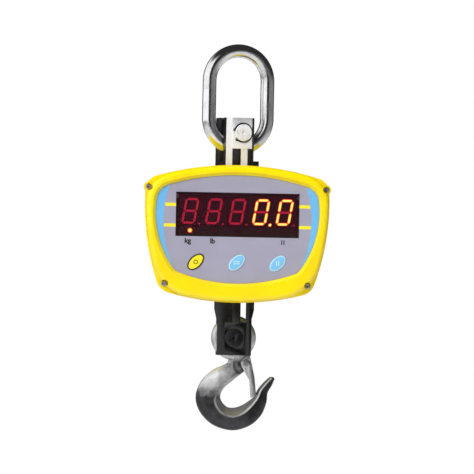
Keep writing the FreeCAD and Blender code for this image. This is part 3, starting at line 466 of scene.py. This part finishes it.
def tinted_window(name):
    """Dark red filter over the digits."""
    finish = Finish(name, (0.045, 0.008, 0.016), 0.0, 0.06)
    finish.set("Roughness", finish.span(finish.noise(120, 4), 0.35, 0.75, 0.05, 0.16))
    finish.bump(finish.noise(60, 2), 0.04, 0.2 * MM)
    finish.shader.inputs["Alpha"].default_value = 0.42
    finish.shader.inputs["Specular IOR Level"].default_value = 0.35
    finish.material.blend_method = "BLEND"
    return finish.material


def lamp(name, color, strength, body=(0.2, 0.02, 0.02)):
    """A coloured light on a clear red body."""
    finish = Finish(name, body, 0.0, 0.35)
    finish.set("Roughness", finish.span(finish.noise(900, 2), 0.3, 0.7, 0.3, 0.45))
    finish.bump(finish.noise(1500, 2), 0.1, 0.1 * MM)
    finish.shader.inputs["Emission Color"].default_value = (*color, 1)
    finish.shader.inputs["Emission Strength"].default_value = strength
    return finish.material


LILAC = (0.37, 0.36, 0.46)
YELLOW = (1.0, 0.80, 0.0)
DEEP_YELLOW = (0.93, 0.66, 0.0)
SKY = (0.16, 0.50, 0.90)

mat = {
    "link_chrome": polished_steel("link_chrome", 0.82, 0.10, 0.30),
    # painted light: the upper fork and pin are near white and barely metallic, a painted reflection; the
    # lower fork and pin, the same steel parts, are near black, painted shade
    "fork_bright": fork_finish("fork_bright", (0.95, 0.95, 0.98), (0.13, 0.13, 0.14), 0.2),
    "fork_dark": milled_steel("fork_dark", 0.055, 0.2, 0.34),
    "pin_steel": ground_end("pin_steel", (0.92, 0.92, 0.94), 0.2, (0.62, 0.62, 0.62)),
    "pin_dark": ground_end("pin_dark", (0.055, 0.055, 0.06), 1.0, (0.035, 0.035, 0.035)),
    "ring_steel": milled_steel("ring_steel", 0.05, 0.25, 0.4, (4, 4, 4)),
    "cell_steel": milled_steel("cell_steel", 0.6, 0.25, 0.4),
    "cover_sheet": milled_steel("cover_sheet", 0.6, 0.3, 0.42),
    "bracket_sheet": milled_steel("bracket_sheet", 0.55, 0.3, 0.45),
    "screw_steel": milled_steel("screw_steel", 0.45, 0.25, 0.4, (8, 8, 8)),
    "hook_forged": forged_steel("hook_forged"),
    "latch_zinc": milled_steel("latch_zinc", 0.62, 0.25, 0.42, (14, 1, 1)),
    "rivet_steel": milled_steel("rivet_steel", 0.6, 0.2, 0.36, (5, 5, 5)),
    "spring_steel": milled_steel("spring_steel", 0.4, 0.25, 0.4, (5, 5, 5)),
    "bezel_yellow": moulded_plastic("bezel_yellow", YELLOW, DEEP_YELLOW, 0.26),
    "case_yellow": moulded_plastic("case_yellow", YELLOW, DEEP_YELLOW, 0.38, 0.1, 0.25, 0.1),
    "gasket_rubber": plain_matter("gasket_rubber", (0.02, 0.02, 0.02), (0.035, 0.035, 0.035), 0.6),
    "panel_sheet": milled_steel("panel_sheet", 0.6, 0.3, 0.45),
    "overlay_print": printed_film("overlay_print", LILAC),
    "print_blue": printed_film("print_blue", SKY),
    "print_yellow": printed_film("print_yellow", (1.0, 0.84, 0.02)),
    "print_black": printed_film("print_black", (0.012, 0.012, 0.016)),
    "print_pale": printed_film("print_pale", (0.55, 0.80, 0.95)),
    "window_red": tinted_window("window_red"),
    "button_yellow": plain_matter("button_yellow", (1.0, 0.84, 0.02), (0.9, 0.72, 0.02), 0.42),
    "button_blue": plain_matter("button_blue", (0.22, 0.58, 0.88), (0.17, 0.5, 0.8), 0.42),
    "board_green": plain_matter("board_green", (0.02, 0.12, 0.05), (0.015, 0.09, 0.04), 0.4),
    "chip_black": plain_matter("chip_black", (0.02, 0.02, 0.02), (0.04, 0.04, 0.04), 0.5),
    "digit_face": plain_matter("digit_face", (0.05, 0.008, 0.012), (0.035, 0.006, 0.008), 0.5),
    "led_red": plain_matter("led_red", (0.25, 0.01, 0.02), (0.18, 0.01, 0.02), 0.3),
    "brass_post": milled_steel("brass_post", 0.6, 0.25, 0.4),
    "battery_case": plain_matter("battery_case", (0.03, 0.03, 0.035), (0.05, 0.05, 0.05), 0.45),
    "tag_brass": milled_steel("tag_brass", 0.6, 0.25, 0.4),
    "pad_foam": plain_matter("pad_foam", (0.03, 0.03, 0.03), (0.06, 0.06, 0.06), 0.9),
    "socket_black": plain_matter("socket_black", (0.02, 0.02, 0.02), (0.03, 0.03, 0.03), 0.4),
    "cable_grey": plain_matter("cable_grey", (0.06, 0.06, 0.06), (0.09, 0.09, 0.09), 0.5),
    "lit_core": lamp("lit_core", (1.0, 0.42, 0.06), 9.0),
    "lit_edge": lamp("lit_edge", (1.0, 0.10, 0.04), 4.0),
    # painted light: the unlit segments are off, yet glow faintly
    "unlit_segment": lamp("unlit_segment", (0.95, 0.02, 0.07), 1.1, (0.35, 0.02, 0.05)),
}


def finish_cad_nodes():
    """Every CAD node gets its slot's finish."""
    for entry in frame["record"]["subparts"]:
        node = frame["nodes"][entry["node"]]
        node.data.materials.clear()
        node.data.materials.append(mat[entry["material_slot"]])


# ---- suspension link ----

def link_path(straight, bow_r, steps):
    """Centre line of the link with its outward directions, in the link's own plane."""
    points = []
    for centre, start in ((straight / 2, 0.0), (-straight / 2, math.pi)):
        for i in range(steps + 1):
            angle = start + math.pi * i / steps
            out = Vector((math.cos(angle), 0, math.sin(angle)))
            points.append((Vector((0, 0, centre)) + out * bow_r, out))
    return points


def suspension_link():
    """Bent and welded ring of round bar, a little flattened where the bows were bent."""
    lo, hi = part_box("master_link")
    bow_r = LINK_INNER_W / 2 + LINK_WIRE_R
    straight = hi.z - lo.z - 2 * (bow_r + LINK_WIRE_R)
    centre = Vector((0, 0, (hi.z + lo.z) / 2))
    side = Vector((0, 1, 0))
    flattening = 0.02
    sides = 40
    parts_of_straight = 14
    path = link_path(straight, bow_r, 48)
    full = []
    for i, (point, out) in enumerate(path):
        full.append((point, out))
        after = path[(i + 1) % len(path)][0]
        if (after - point).length > straight * 0.6:
            full += [(point.lerp(after, t / parts_of_straight), out)
                     for t in range(1, parts_of_straight)]
    rings = []
    for point, out in full:
        radial = LINK_WIRE_R * (1 - flattening * abs(out.z))
        section = circle(0, 0, 1, sides)
        rings.append([centre + point + out * radial * u + side * LINK_WIRE_R * v
                      for u, v in section])
    mesh = skin_rings(rings, "suspension_link", True)
    mesh.transform(Matrix.Rotation(LINK_TURN, 4, "Z"))
    place(new_object("suspension_link", mesh, mat["link_chrome"]),
          "link", "master_link")


# ---- hook ----

# outer point, inner point, half thickness (mm from the eye) and where the ridge runs, down the hook
HOOK_RUN = (
    (-8, -17, 13, -19, 8.0, 0.80),
    (-6.5, -29, 15, -36, 8.5, 0.80),
    (-23.4, -38, 3, -47.5, 9.5, 0.80),
    (-36.8, -51.4, -9.5, -58.5, 10.0, 0.74),
    (-43, -69, -14, -68, 10.0, 0.60),
    (-38, -87, -12.3, -74.5, 10.0, 0.42),
    (-22.5, -102.2, -6, -80.8, 10.0, 0.28),
    (0, -108.4, 2, -81.6, 10.0, 0.22),
    (20, -103, 10.5, -79, 10.0, 0.30),
    (33.5, -91, 19, -73.5, 9.0, 0.42),
    (39.8, -76, 25.2, -68, 7.5, 0.46),
    (41.2, -64, 29.6, -59.5, 6.2, 0.42),
    (46, -55, 36, -51.5, 5.4, 0.30),
    (48.4, -49.0, 41.5, -46.2, 3.8, 0.10),
)
# half of the section: place from the outer edge (-1) over the ridge (0) to the inner edge (1),
# and share of the half thickness
HOOK_SECTION = (
    (-1.0, 0.0), (-0.97, 0.30), (-0.84, 0.60), (-0.62, 0.82), (-0.36, 0.93), (-0.14, 0.985), (0.0, 1.0),
    (0.09, 0.955), (0.34, 0.76), (0.66, 0.46), (0.92, 0.20), (1.0, 0.0),
)


def hook_station(values):
    """Middle of a section, half of its way across, half thickness, place of the ridge."""
    outer_x, outer_z, inner_x, inner_z, half_t, ridge = values
    outer = HOOK_PIVOT + Vector((outer_x, 0, outer_z)) * MM
    inner = HOOK_PIVOT + Vector((inner_x, 0, inner_z)) * MM
    return (outer + inner) / 2, (inner - outer) / 2, half_t * MM, ridge


def hook_ring(values):
    centre, across, half_t, ridge = hook_station(values)
    side = Vector((0, half_t, 0))
    half = []
    for place_at, share in spline(HOOK_SECTION, 3):
        room = 1 + ridge if place_at < 0 else 1 - ridge
        half.append((ridge + place_at * room, share))
    ring = [centre + across * a + side * t for a, t in half]
    ring += [centre + across * a - side * t for a, t in reversed(half[1:-1])]
    return ring


def hook_bowl():
    rings = [hook_ring(values) for values in spline(HOOK_RUN, 7)]
    # rounded tip: the last section shrinks along a quarter circle
    tip = rings[-1]
    centre = sum(tip, Vector()) / len(tip)
    before = sum(rings[-2], Vector()) / len(tip)
    ahead = (centre - before).normalized()
    reach = 3.2 * MM
    for i in range(1, 7):
        angle = math.pi / 2 * i / 6.4
        rings.append([centre + (p - centre) * math.cos(angle) + ahead * reach * math.sin(angle)
                      for p in tip])
    return skin_rings(rings, "bowl")


def turned_disc(profile, steps, centre):
    """A ring turned about an axis along Y, from (radius, y) corners in mm."""
    rings = []
    for x, z in circle(0, 0, 1, steps):
        rings.append([centre + Vector((x * r, y, z * r)) * MM for r, y in profile])
    return skin_rings(rings, "disc", True)


def round_corner(cx, cy, r, start, end, steps=6):
    """Corner points of a turned profile."""
    points = []
    for i in range(steps + 1):
        angle = math.radians(start + (end - start) * i / steps)
        points.append((cx + r * math.cos(angle), cy + r * math.sin(angle)))
    return points


def hook_eye():
    """The eye's ring with a rounded rim and chamfered bore, in mm."""
    outer_r = 26
    half_t = 9
    rim_round = 4
    bore = 10.1
    chamfer = 1.4
    mid_r = outer_r - rim_round
    mid_y = half_t - rim_round
    rim = (round_corner(mid_r, mid_y, rim_round, 90, 0)
           + round_corner(mid_r, -mid_y, rim_round, 0, -90))
    lip = [(bore + chamfer, -half_t), (bore, chamfer - half_t)]
    lip += [(r, -y) for r, y in reversed(lip)]
    return turned_disc(rim + lip, 72, HOOK_PIVOT)


def cylinder_y(centre, radius, y0, y1, steps=48):
    bm = bmesh.new()
    flat_bar(bm, circle(centre.x, centre.z, radius, steps), y0, y1)
    return mesh_from(bm, "cutter")


def boolean(obj, mesh, operation):
    other = new_object("tool", mesh, None)
    step = obj.modifiers.new("cut", "BOOLEAN")
    step.operation = operation
    step.solver = "EXACT"
    step.object = other
    apply_modifiers(obj)
    bpy.data.objects.remove(other)


def clamped(value):
    return min(max(value, 0.0), 1.0)


def mark_wear(obj):
    """Two point attributes: wear along the ridges, which also carries a painted highlight, and saddle on
    the inner face between them.
    """
    stations = []
    for values in spline(HOOK_RUN, 9):
        outer_x, outer_z = values[:2]
        # the ridges fade out up the back of the bowl
        strength = clamped((-outer_z - 58) / 26) if outer_x < 30 else 1.0
        stations.append((*hook_station(values), strength))
    tree = KDTree(len(stations))
    for i, station in enumerate(stations):
        tree.insert(station[0], i)
    tree.balance()
    ridge_wear_and_highlight = obj.data.attributes.new("ridge_wear_and_highlight", "FLOAT", "POINT")
    saddle = obj.data.attributes.new("saddle", "FLOAT", "POINT")
    for vertex in obj.data.vertices:
        flat = Vector((vertex.co.x, 0, vertex.co.z))
        centre, across, half_t, ridge, strength = stations[tree.find(flat)[1]]
        at = (flat - centre).dot(across) / across.length_squared
        beside = (at - ridge - 0.03) * across.length
        below = max(half_t * 0.93 - abs(vertex.co.y), 0)
        off_ridge = math.hypot(beside, below)
        ridge_wear_and_highlight.data[vertex.index].value = strength * max(1 - off_ridge / (1.7 * MM), 0.0) ** 0.7
        saddle.data[vertex.index].value = strength * clamped((at - ridge - 0.04) / 0.12)


def forged_hook():
    """Bowl, eye and latch lug joined in one skin, then bored and relieved for the latch."""
    lug_r = 4.6 * MM
    lug_half_w = 5.6 * MM
    cheek_room_r = 14.2 * MM
    cheek_room_y = (5.8 * MM, 12 * MM)
    spring_room_r = 5.7 * MM
    spring_room_y = (-12 * MM, -4.1 * MM)
    through = 20 * MM
    obj = new_object("forged_hook", hook_bowl(), mat["hook_forged"])
    boolean(obj, hook_eye(), "UNION")
    boolean(obj, cylinder_y(LATCH_PIVOT, lug_r, -lug_half_w, lug_half_w), "UNION")
    near, far = cheek_room_y
    boolean(obj, cylinder_y(LATCH_PIVOT, cheek_room_r, -far, -near), "DIFFERENCE")
    boolean(obj, cylinder_y(LATCH_PIVOT, cheek_room_r, near, far), "DIFFERENCE")
    remesh = obj.modifiers.new("skin", "REMESH")
    remesh.mode = "VOXEL"
    remesh.voxel_size = 0.75 * MM
    remesh.use_smooth_shade = True
    blend = obj.modifiers.new("blend", "SMOOTH")
    blend.factor = 0.5
    blend.iterations = 5
    apply_modifiers(obj)
    boolean(obj, cylinder_y(HOOK_PIVOT, EYE_BORE_R, -through, through, 72), "DIFFERENCE")
    boolean(obj, cylinder_y(LATCH_PIVOT, RIVET_BORE_R, -through, through), "DIFFERENCE")
    boolean(obj, cylinder_y(LATCH_PIVOT, spring_room_r, *spring_room_y), "DIFFERENCE")
    for polygon in obj.data.polygons:
        polygon.use_smooth = True
    obj.data.set_sharp_from_angle(angle=math.radians(50))
    mark_wear(obj)
    obj.data.materials.clear()
    obj.data.materials.append(mat["hook_forged"])
    place(obj, "hook", "hook")


# ---- display ----

# ends of each bar on the figure's half width and half height
SEGMENTS = {
    "a": ((-1, 1), (1, 1)), "b": ((1, 1), (1, 0)), "c": ((1, 0), (1, -1)), "d": ((-1, -1), (1, -1)),
    "e": ((-1, 0), (-1, -1)), "f": ((-1, 1), (-1, 0)), "g": ((-1, 0), (1, 0)),
}
# lit bars of each digit, from the left
READING = ("", "", "", "abcdef.", "abcdef")


def segment_outline(ends, width, trim):
    """The six corners of a mitred bar between two corners of the figure."""
    margin = 1.3 * MM
    start, end = [Vector((x * (DIGIT_W / 2 - margin), z * (DIGIT_H / 2 - margin))) for x, z in ends]
    along = (end - start).normalized()
    across = Vector((-along.y, along.x)) * width / 2
    start = start + along * trim
    end = end - along * trim
    inset = along * width / 2
    return [start, start + inset + across, end - inset + across,
            end, end - inset - across, start + inset - across]


def slanted(points, centre_x, centre_z):
    return [(centre_x + p.x + p.y * DIGIT_SLANT, centre_z + p.y) for p in points]


def point_outline(radius):
    """The decimal point, low on the right of the figure."""
    x = DIGIT_W / 2 + 5.0 * MM
    z = -DIGIT_H / 2 + 0.3 * MM
    return [Vector(corner) for corner in circle(x, z, radius, 20)]


def digit_marks(name, outlines, index, material, rise):
    """Raised light bars of one digit, joined in one piece."""
    if not outlines:
        return
    lo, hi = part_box("led_digit_" + str(index))
    bm = bmesh.new()
    for outline in outlines:
        corners = slanted(outline, (lo.x + hi.x) / 2, (lo.z + hi.z) / 2)
        flat_bar(bm, corners, lo.y + 0.05 * MM, lo.y - rise)
    obj = new_object(name, mesh_from(bm, name), material, False)
    place(obj, "scale")


def digits():
    """Bars for what is off, glowing faintly as painted light, and a lit edge round a brighter core for
    what is on.
    """
    for index, lit in enumerate(READING, 1):
        off = [ends for key, ends in SEGMENTS.items() if key not in lit]
        on = [ends for key, ends in SEGMENTS.items() if key in lit]
        dark = [segment_outline(ends, 2.5 * MM, 0.5 * MM) for ends in off]
        edge = [segment_outline(ends, 3.3 * MM, 0.3 * MM) for ends in on]
        core = [segment_outline(ends, 1.9 * MM, 1.4 * MM) for ends in on]
        if "." in lit:
            edge.append(point_outline(1.9 * MM))
            core.append(point_outline(1.3 * MM))
        else:
            dark.append(point_outline(1.1 * MM))
        digit_marks("digit_%d_unlit" % index, dark, index, mat["unlit_segment"], 0.15 * MM)
        digit_marks("digit_%d_lit" % index, edge, index, mat["lit_edge"], 0.15 * MM)
        digit_marks("digit_%d_core" % index, core, index, mat["lit_core"], 0.25 * MM)


def dome(name, centre, radius, height, material):
    """A shallow lens on a round lamp; height is a share of the radius."""
    rings = []
    for i in range(7):
        angle = math.pi / 2 * i / 6.5
        y = centre.y - radius * height * math.sin(angle)
        rim = circle(centre.x, centre.z, radius * math.cos(angle), 28)
        rings.append([(x, y, z) for x, z in rim])
    place(new_object(name, skin_rings(rings, name), material), "scale")


def status_lamp():
    """The lamp that shows the unit in use is lit."""
    lo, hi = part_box("status_leds")
    lens_r = 1.5 * MM
    centre = Vector((lo.x + lens_r, lo.y - 0.1 * MM, (lo.z + hi.z) / 2))
    dome("status_lamp_lit", centre, 1.7 * MM, 0.2, mat["lit_core"])
    bm = bmesh.new()
    flat_bar(bm, circle(centre.x, centre.z, 2.8 * MM, 32), lo.y + 1.2 * MM, lo.y + 0.4 * MM)
    place(new_object("status_lamp_halo", mesh_from(bm, "halo"), mat["lit_edge"]),
          "scale")


# ---- printed film ----

def arc_through(a, b, c):
    """Centre and radius of the circle through three points."""
    d = 2 * (a[0] * (b[1] - c[1]) + b[0] * (c[1] - a[1]) + c[0] * (a[1] - b[1]))
    squares = [p[0] ** 2 + p[1] ** 2 for p in (a, b, c)]
    ux = (squares[0] * (b[1] - c[1]) + squares[1] * (c[1] - a[1]) + squares[2] * (a[1] - b[1])) / d
    uy = (squares[0] * (c[0] - b[0]) + squares[1] * (a[0] - c[0]) + squares[2] * (b[0] - a[0])) / d
    return ux, uy, math.hypot(a[0] - ux, a[1] - uy)


def on_arc(arc, z):
    """Half width of an arc that bulges outwards, at a height."""
    x, middle_z, radius = arc
    return x + math.sqrt(max(radius ** 2 - (z - middle_z) ** 2, 0))


# film edge, blue crescents and short bars, mm from the top middle of the case
FILM_SIDE = arc_through((91.5, -27.8), (94.8, -55), (71.0, -124))
CRESCENT = arc_through((78.5, -22.0), (86.0, -62), (71.5, -124))
CRESCENT_TOP = -24.6
CRESCENT_LOW = -118.5
CRESCENT_LEAST_W = 0.2
FILM_CORNER = (73.9, -44.0, 20.0)      # middle and radius of the rounded top corner
FILM_MARGIN = 0.4
BAR_START = 71.6
BAR_HALF_H = 1.9
BAR_GAP = 0.6


def film_print(name, outlines, material, rise=PRINT_RISE):
    """Printed areas: skins just proud of the film, joined in one piece."""
    bm = bmesh.new()
    for corners in outlines:
        flat_bar(bm, corners, FILM_Y + PRINT_UNDER, FILM_Y - rise)
    place(new_object(name, mesh_from(bm, name), material, False), "scale")


def on_case(corners):
    """From mm about the top middle of the case to the frame's metres."""
    return [(x * MM, CASE_TOP + z * MM) for x, z in corners]


def crescents():
    """Blue areas down both sides, inside the film's edge and its rounded top corners."""
    steps = 40
    for name, side in (("left", -1), ("right", 1)):
        inner = []
        outer = []
        for i in range(steps + 1):
            z = CRESCENT_TOP + (CRESCENT_LOW - CRESCENT_TOP) * i / steps
            edge = on_arc(FILM_SIDE, z) - FILM_MARGIN
            if z > FILM_CORNER[1]:
                edge = min(edge, on_arc(FILM_CORNER, z))
            inner.append((side * min(on_arc(CRESCENT, z), edge - CRESCENT_LEAST_W), z))
            outer.append((side * edge, z))
        film_print("print_crescent_" + name, [on_case(inner + outer[::-1])], mat["print_blue"])


def side_bars():
    """Two short bars each side of the window."""
    for name, side in (("left", -1), ("right", 1)):
        for level, rise in (("upper", 10.8), ("lower", -13.2)):
            z = rise - WINDOW_BELOW_TOP
            end = side * (on_arc(CRESCENT, z) - BAR_GAP)
            corners = rectangle(side * BAR_START, end, z - BAR_HALF_H, z + BAR_HALF_H)
            film_print("print_bar_%s_%s" % (level, name), [on_case(corners)], mat["print_yellow"])


def unit_marks():
    """Unit symbols under their lamps, and two bars for the hold lamp."""
    row_z = WINDOW_Z - 31.0 * MM
    for body, x in (("kg", -57.3), ("lb", -28.5)):
        name = "mark_" + body
        curve = bpy.data.curves.new(name, "FONT")
        curve.body = body
        curve.size = 8.2 * MM
        curve.offset = 0.3 * MM
        curve.extrude = 0.03 * MM
        curve.align_x = "CENTER"
        curve.align_y = "CENTER"
        text = bpy.data.objects.new(name, curve)
        bpy.context.scene.collection.objects.link(text)
        graph = bpy.context.evaluated_depsgraph_get()
        graph.update()
        mesh = bpy.data.meshes.new_from_object(text.evaluated_get(graph))
        bpy.data.objects.remove(text)
        upright = Matrix.Rotation(math.pi / 2, 4, "X")
        mesh.transform(Matrix.Translation((x * MM, FILM_Y - 0.03 * MM, row_z)) @ upright)
        mesh.materials.clear()
        place(new_object(name, mesh, mat["print_black"], False), "scale")
    film_print("mark_hold", two_bars(53.2 * MM, row_z), mat["print_black"])


def two_bars(x, z):
    """The sign for hold: outlines of two upright bars."""
    half_w = 0.6 * MM
    half_h = 2.6 * MM
    middles = [x + side * 1.3 * MM for side in (-1, 1)]
    return [rectangle(m - half_w, m + half_w, z - half_h, z + half_h) for m in middles]


def window_frame():
    """Thin dark printed border round the window."""
    w0, w1 = 71.3 * MM, 71.7 * MM
    h0, h1 = 25.3 * MM, 25.7 * MM
    sides = ((-w1, w1, h0, h1), (-w1, w1, -h1, -h0), (-w1, -w0, -h0, h0), (w0, w1, -h0, h0))
    outlines = [rectangle(x0, x1, WINDOW_Z + z0, WINDOW_Z + z1) for x0, x1, z0, z1 in sides]
    film_print("print_window_border", outlines, mat["print_black"], 0.05 * MM)


# ---- buttons ----

def oval(centre, half_l, half_w, y, count=56):
    """Points of the slanted oval at one Y value."""
    points = []
    for u, v in circle(0, 0, 1, count):
        u *= half_l
        v *= half_w
        points.append(Vector((centre.x + u * math.cos(BUTTON_SLANT) - v * math.sin(BUTTON_SLANT), y,
                              centre.z + u * math.sin(BUTTON_SLANT) + v * math.cos(BUTTON_SLANT))))
    return points


def oval_inset(point, centre):
    """How far a point lies inside the key's edge, about."""
    x, z = point.x - centre.x, point.z - centre.z
    u = x * math.cos(BUTTON_SLANT) + z * math.sin(BUTTON_SLANT)
    v = -x * math.sin(BUTTON_SLANT) + z * math.cos(BUTTON_SLANT)
    share = math.hypot(u / BUTTON_HALF_L, v / BUTTON_HALF_W)
    if share < 0.01:
        return BUTTON_HALF_W
    reach = math.hypot(u, v)
    return reach / share - reach


# inset from the oval's edge and depth below the crown in mm, from the skirt to the crown
KEY_PROFILE = (
    (-1.2, 4.8), (-1.2, 3.8), (0, 3.8), (0, 1.0), (0.05, 0.66), (0.22, 0.42), (0.45, 0.30), (0.7, 0.245),
    (1.35, 0.19), (1.42, 0.17), (2.4, 0.11), (3.6, 0.06), (5.0, 0.02), (6.3, 0.0),
)
RIM_WIDTH = 1.38 * MM


def button_cap(node, material, rim_material):
    """Domed oval key with an outlined edge, its retaining skirt and its stem."""
    lo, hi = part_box(node)
    centre = Vector(((lo.x + hi.x) / 2, 0, (lo.z + hi.z) / 2))
    rings = []
    for inset, depth in KEY_PROFILE:
        rings.append(oval(centre, BUTTON_HALF_L - inset * MM, BUTTON_HALF_W - inset * MM,
                          lo.y + depth * MM))
    bm = bmesh.new()
    bm.from_mesh(skin_rings(rings, node + "_cap"))
    flat_bar(bm, circle(centre.x, centre.z, STEM_R, 24), lo.y + 4.6 * MM, hi.y)
    obj = new_object(node + "_cap", mesh_from(bm, node + "_cap"), material)
    obj.data.materials.append(rim_material)
    for polygon in obj.data.polygons:
        front = polygon.center.y < lo.y + 1.0 * MM
        on_rim = front and oval_inset(polygon.center, centre) < RIM_WIDTH
        polygon.material_index = 1 if on_rim else 0
    obj.data.set_sharp_from_angle(angle=math.radians(38))
    place(obj, node, node)
    return centre, lo.y


def zero_ring(name, centre, under, top):
    """A flat ring: the sign for zero."""
    outer_r = 2.6 * MM
    inner_r = 1.7 * MM
    edges = ((outer_r, under), (outer_r, top), (inner_r, top), (inner_r, under))
    loops = [oval(centre, radius, radius, y, 28) for radius, y in edges]
    return skin_rings([list(section) for section in zip(*loops)], name, True)


def swap_arrows(centre):
    """The sign for changing units: outlines of two arrows that pass each other."""
    half_w = 0.45 * MM
    outlines = []
    for side in (-1, 1):
        z = centre.z + side * 1.3 * MM
        tip = centre.x + side * 4.2 * MM
        tail = centre.x - side * 3.6 * MM
        neck = centre.x + side * 2.2 * MM
        outlines.append(rectangle(tail, neck, z - half_w, z + half_w))
        outlines.append([(neck, z - 2.6 * half_w), (tip, z), (neck, z + 2.6 * half_w)])
    return outlines


def button_sign(node, centre, y, kind, material):
    """A generic sign on a key: a zero, a pair of arrows, or two bars."""
    name = node + "_sign"
    top = y - 0.02 * MM
    under = y + 0.25 * MM
    if kind == "zero":
        mesh = zero_ring(name, centre, under, top)
    else:
        bm = bmesh.new()
        for outline in swap_arrows(centre) if kind == "swap" else two_bars(centre.x, centre.z):
            flat_bar(bm, outline, under, top)
        mesh = mesh_from(bm, name)
    place(new_object(name, mesh, material, False), node)


def buttons():
    for node, slot, rim, kind, sign in (
            ("button_zero", "button_yellow", "print_black", "zero", "print_black"),
            ("button_units", "button_blue", "print_pale", "swap", "print_pale"),
            ("button_hold", "button_blue", "print_pale", "pause", "print_pale")):
        centre, y = button_cap(node, mat[slot], mat[rim])
        button_sign(node, centre, y, kind, mat[sign])


# ---- studio ----

# place, size in metres and power in watts
STUDIO_LIGHTS = {
    "key": ((-1.3, -2.4, 1.7), 1.0, 52),
    "fill": ((1.5, -2.6, 0.4), 1.0, 16),
    "top": ((0.1, -0.3, 1.9), 1.0, 20),
    "back_left": ((-1.6, 1.8, 0.5), 0.8, 14),
    "back_right": ((1.6, 1.8, 0.6), 0.8, 14),
}
FLOOR_Z = -0.75
FLOOR_R = 6.0


def studio_floor():
    bm = bmesh.new()
    bm.faces.new([bm.verts.new((x, y, FLOOR_Z)) for x, y in circle(0, 0, FLOOR_R, 96)])
    finish = Finish("studio_floor", (0.93, 0.93, 0.92), 0.0, 0.6)
    finish.set("Roughness", finish.span(finish.noise(3, 3), 0.3, 0.7, 0.5, 0.65))
    floor = new_object("studio_floor", mesh_from(bm, "studio_floor"), finish.material, False)


def studio_lights():
    middle = Vector((0, 0, -0.2))
    for name, (place_at, size, power) in STUDIO_LIGHTS.items():
        light = bpy.data.lights.new(name, "AREA")
        light.size = size
        light.energy = power
        obj = bpy.data.objects.new(name, light)
        obj.location = place_at
        # the metal reflects the studio walls, not the lamps
        obj.visible_glossy = False
        aim = middle - Vector(place_at)
        obj.rotation_euler = aim.to_track_quat("-Z", "Y").to_euler()
        bpy.context.scene.collection.objects.link(obj)


def studio():
    """Floor, lamps, and a world that looks plain white but gives the metal screens to reflect."""
    studio_floor()
    studio_lights()
    bpy.context.scene.view_settings.view_transform = "Standard"
    world = bpy.data.worlds.new("studio")
    world.use_nodes = True
    bpy.context.scene.world = world
    nodes = world.node_tree.nodes
    links = world.node_tree.links
    sky = nodes["Background"]
    sky.inputs["Strength"].default_value = 1.0
    links.new(studio_walls(nodes, links), sky.inputs["Color"])
    seen = nodes.new("ShaderNodeBackground")
    seen.inputs["Color"].default_value = (1, 1, 1, 1)
    seen.inputs["Strength"].default_value = 1.0
    path = nodes.new("ShaderNodeLightPath")
    pick = nodes.new("ShaderNodeMixShader")
    links.new(path.outputs["Is Camera Ray"], pick.inputs[0])
    links.new(sky.outputs["Background"], pick.inputs[1])
    links.new(seen.outputs["Background"], pick.inputs[2])
    links.new(pick.outputs["Shader"], nodes["World Output"].inputs["Surface"])


def studio_walls(nodes, links):
    """What the metal reflects: a tall screen on the left, a low one on the right, a white table."""
    direction = nodes.new("ShaderNodeTexCoord").outputs["Generated"]
    split = nodes.new("ShaderNodeSeparateXYZ")
    links.new(direction, split.inputs["Vector"])

    def ramp(axis, low, high):
        node = nodes.new("ShaderNodeMapRange")
        node.interpolation_type = "SMOOTHSTEP"
        node.inputs["From Min"].default_value = low
        node.inputs["From Max"].default_value = high
        links.new(split.outputs[axis], node.inputs["Value"])
        return node.outputs["Result"]

    def product(*factors):
        total = factors[0]
        for factor in factors[1:]:
            total = math_node(nodes, links, "MULTIPLY", total, factor)
        return total

    left = product(ramp("X", -0.10, -0.24), ramp("Y", 0.62, 0.48), ramp("Z", 0.80, 0.55),
                   LEFT_SCREEN)
    right = product(ramp("X", 0.35, 0.55), ramp("Y", 0.60, 0.40), ramp("Z", 0.25, -0.10),
                    RIGHT_SCREEN)
    table = product(ramp("Z", -0.30, -0.55), TABLE)
    light = math_node(nodes, links, "MAXIMUM", left, right)
    light = math_node(nodes, links, "MAXIMUM", light, table)
    return math_node(nodes, links, "MAXIMUM", light, DIM)


def camera():
    """Level with the case, a touch from the left, rolled to match the object's slight lean."""
    distance = 8.0
    swing = math.radians(2.0)
    lean = math.radians(1.15)
    frame_width = 0.550
    target = Vector((0.0, -0.05, CASE_TOP - 0.0835))
    data = bpy.data.cameras.new("camera")
    data.sensor_width = 36
    data.lens = data.sensor_width * distance / frame_width
    data.clip_start = 0.05
    obj = bpy.data.objects.new("camera", data)
    obj.location = target + Vector((-math.sin(swing), -math.cos(swing), 0)) * distance
    look = (target - obj.location).to_track_quat("-Z", "Y").to_matrix().to_4x4()
    obj.matrix_world = Matrix.Translation(obj.location) @ look @ Matrix.Rotation(lean, 4, "Z")
    bpy.context.scene.collection.objects.link(obj)
    bpy.context.scene.camera = obj


# edge rounding in mm and finish of the CAD pieces that show
SOFT_EDGES = (
    ("upper_clevis", 0.5, "fork_bright"),
    ("lower_clevis", 0.5, "fork_dark"),
    ("hook_latch", 0.3, "latch_zinc"),
    ("lower_pin", 0.2, "pin_dark"),
    ("upper_pin", 0.2, "pin_steel"),
    ("upper_pin_rings", 0.15, "ring_steel"),
    ("case_screws", 0.12, "screw_steel"),
    ("latch_rivet", 0.15, "rivet_steel"),
)


def main():
    finish_cad_nodes()
    suspension_link()
    forged_hook()
    for node, width, slot in SOFT_EDGES:
        softened(node, width * MM, slot)
    digits()
    status_lamp()
    crescents()
    side_bars()
    unit_marks()
    window_frame()
    buttons()
    studio()
    camera()


main()
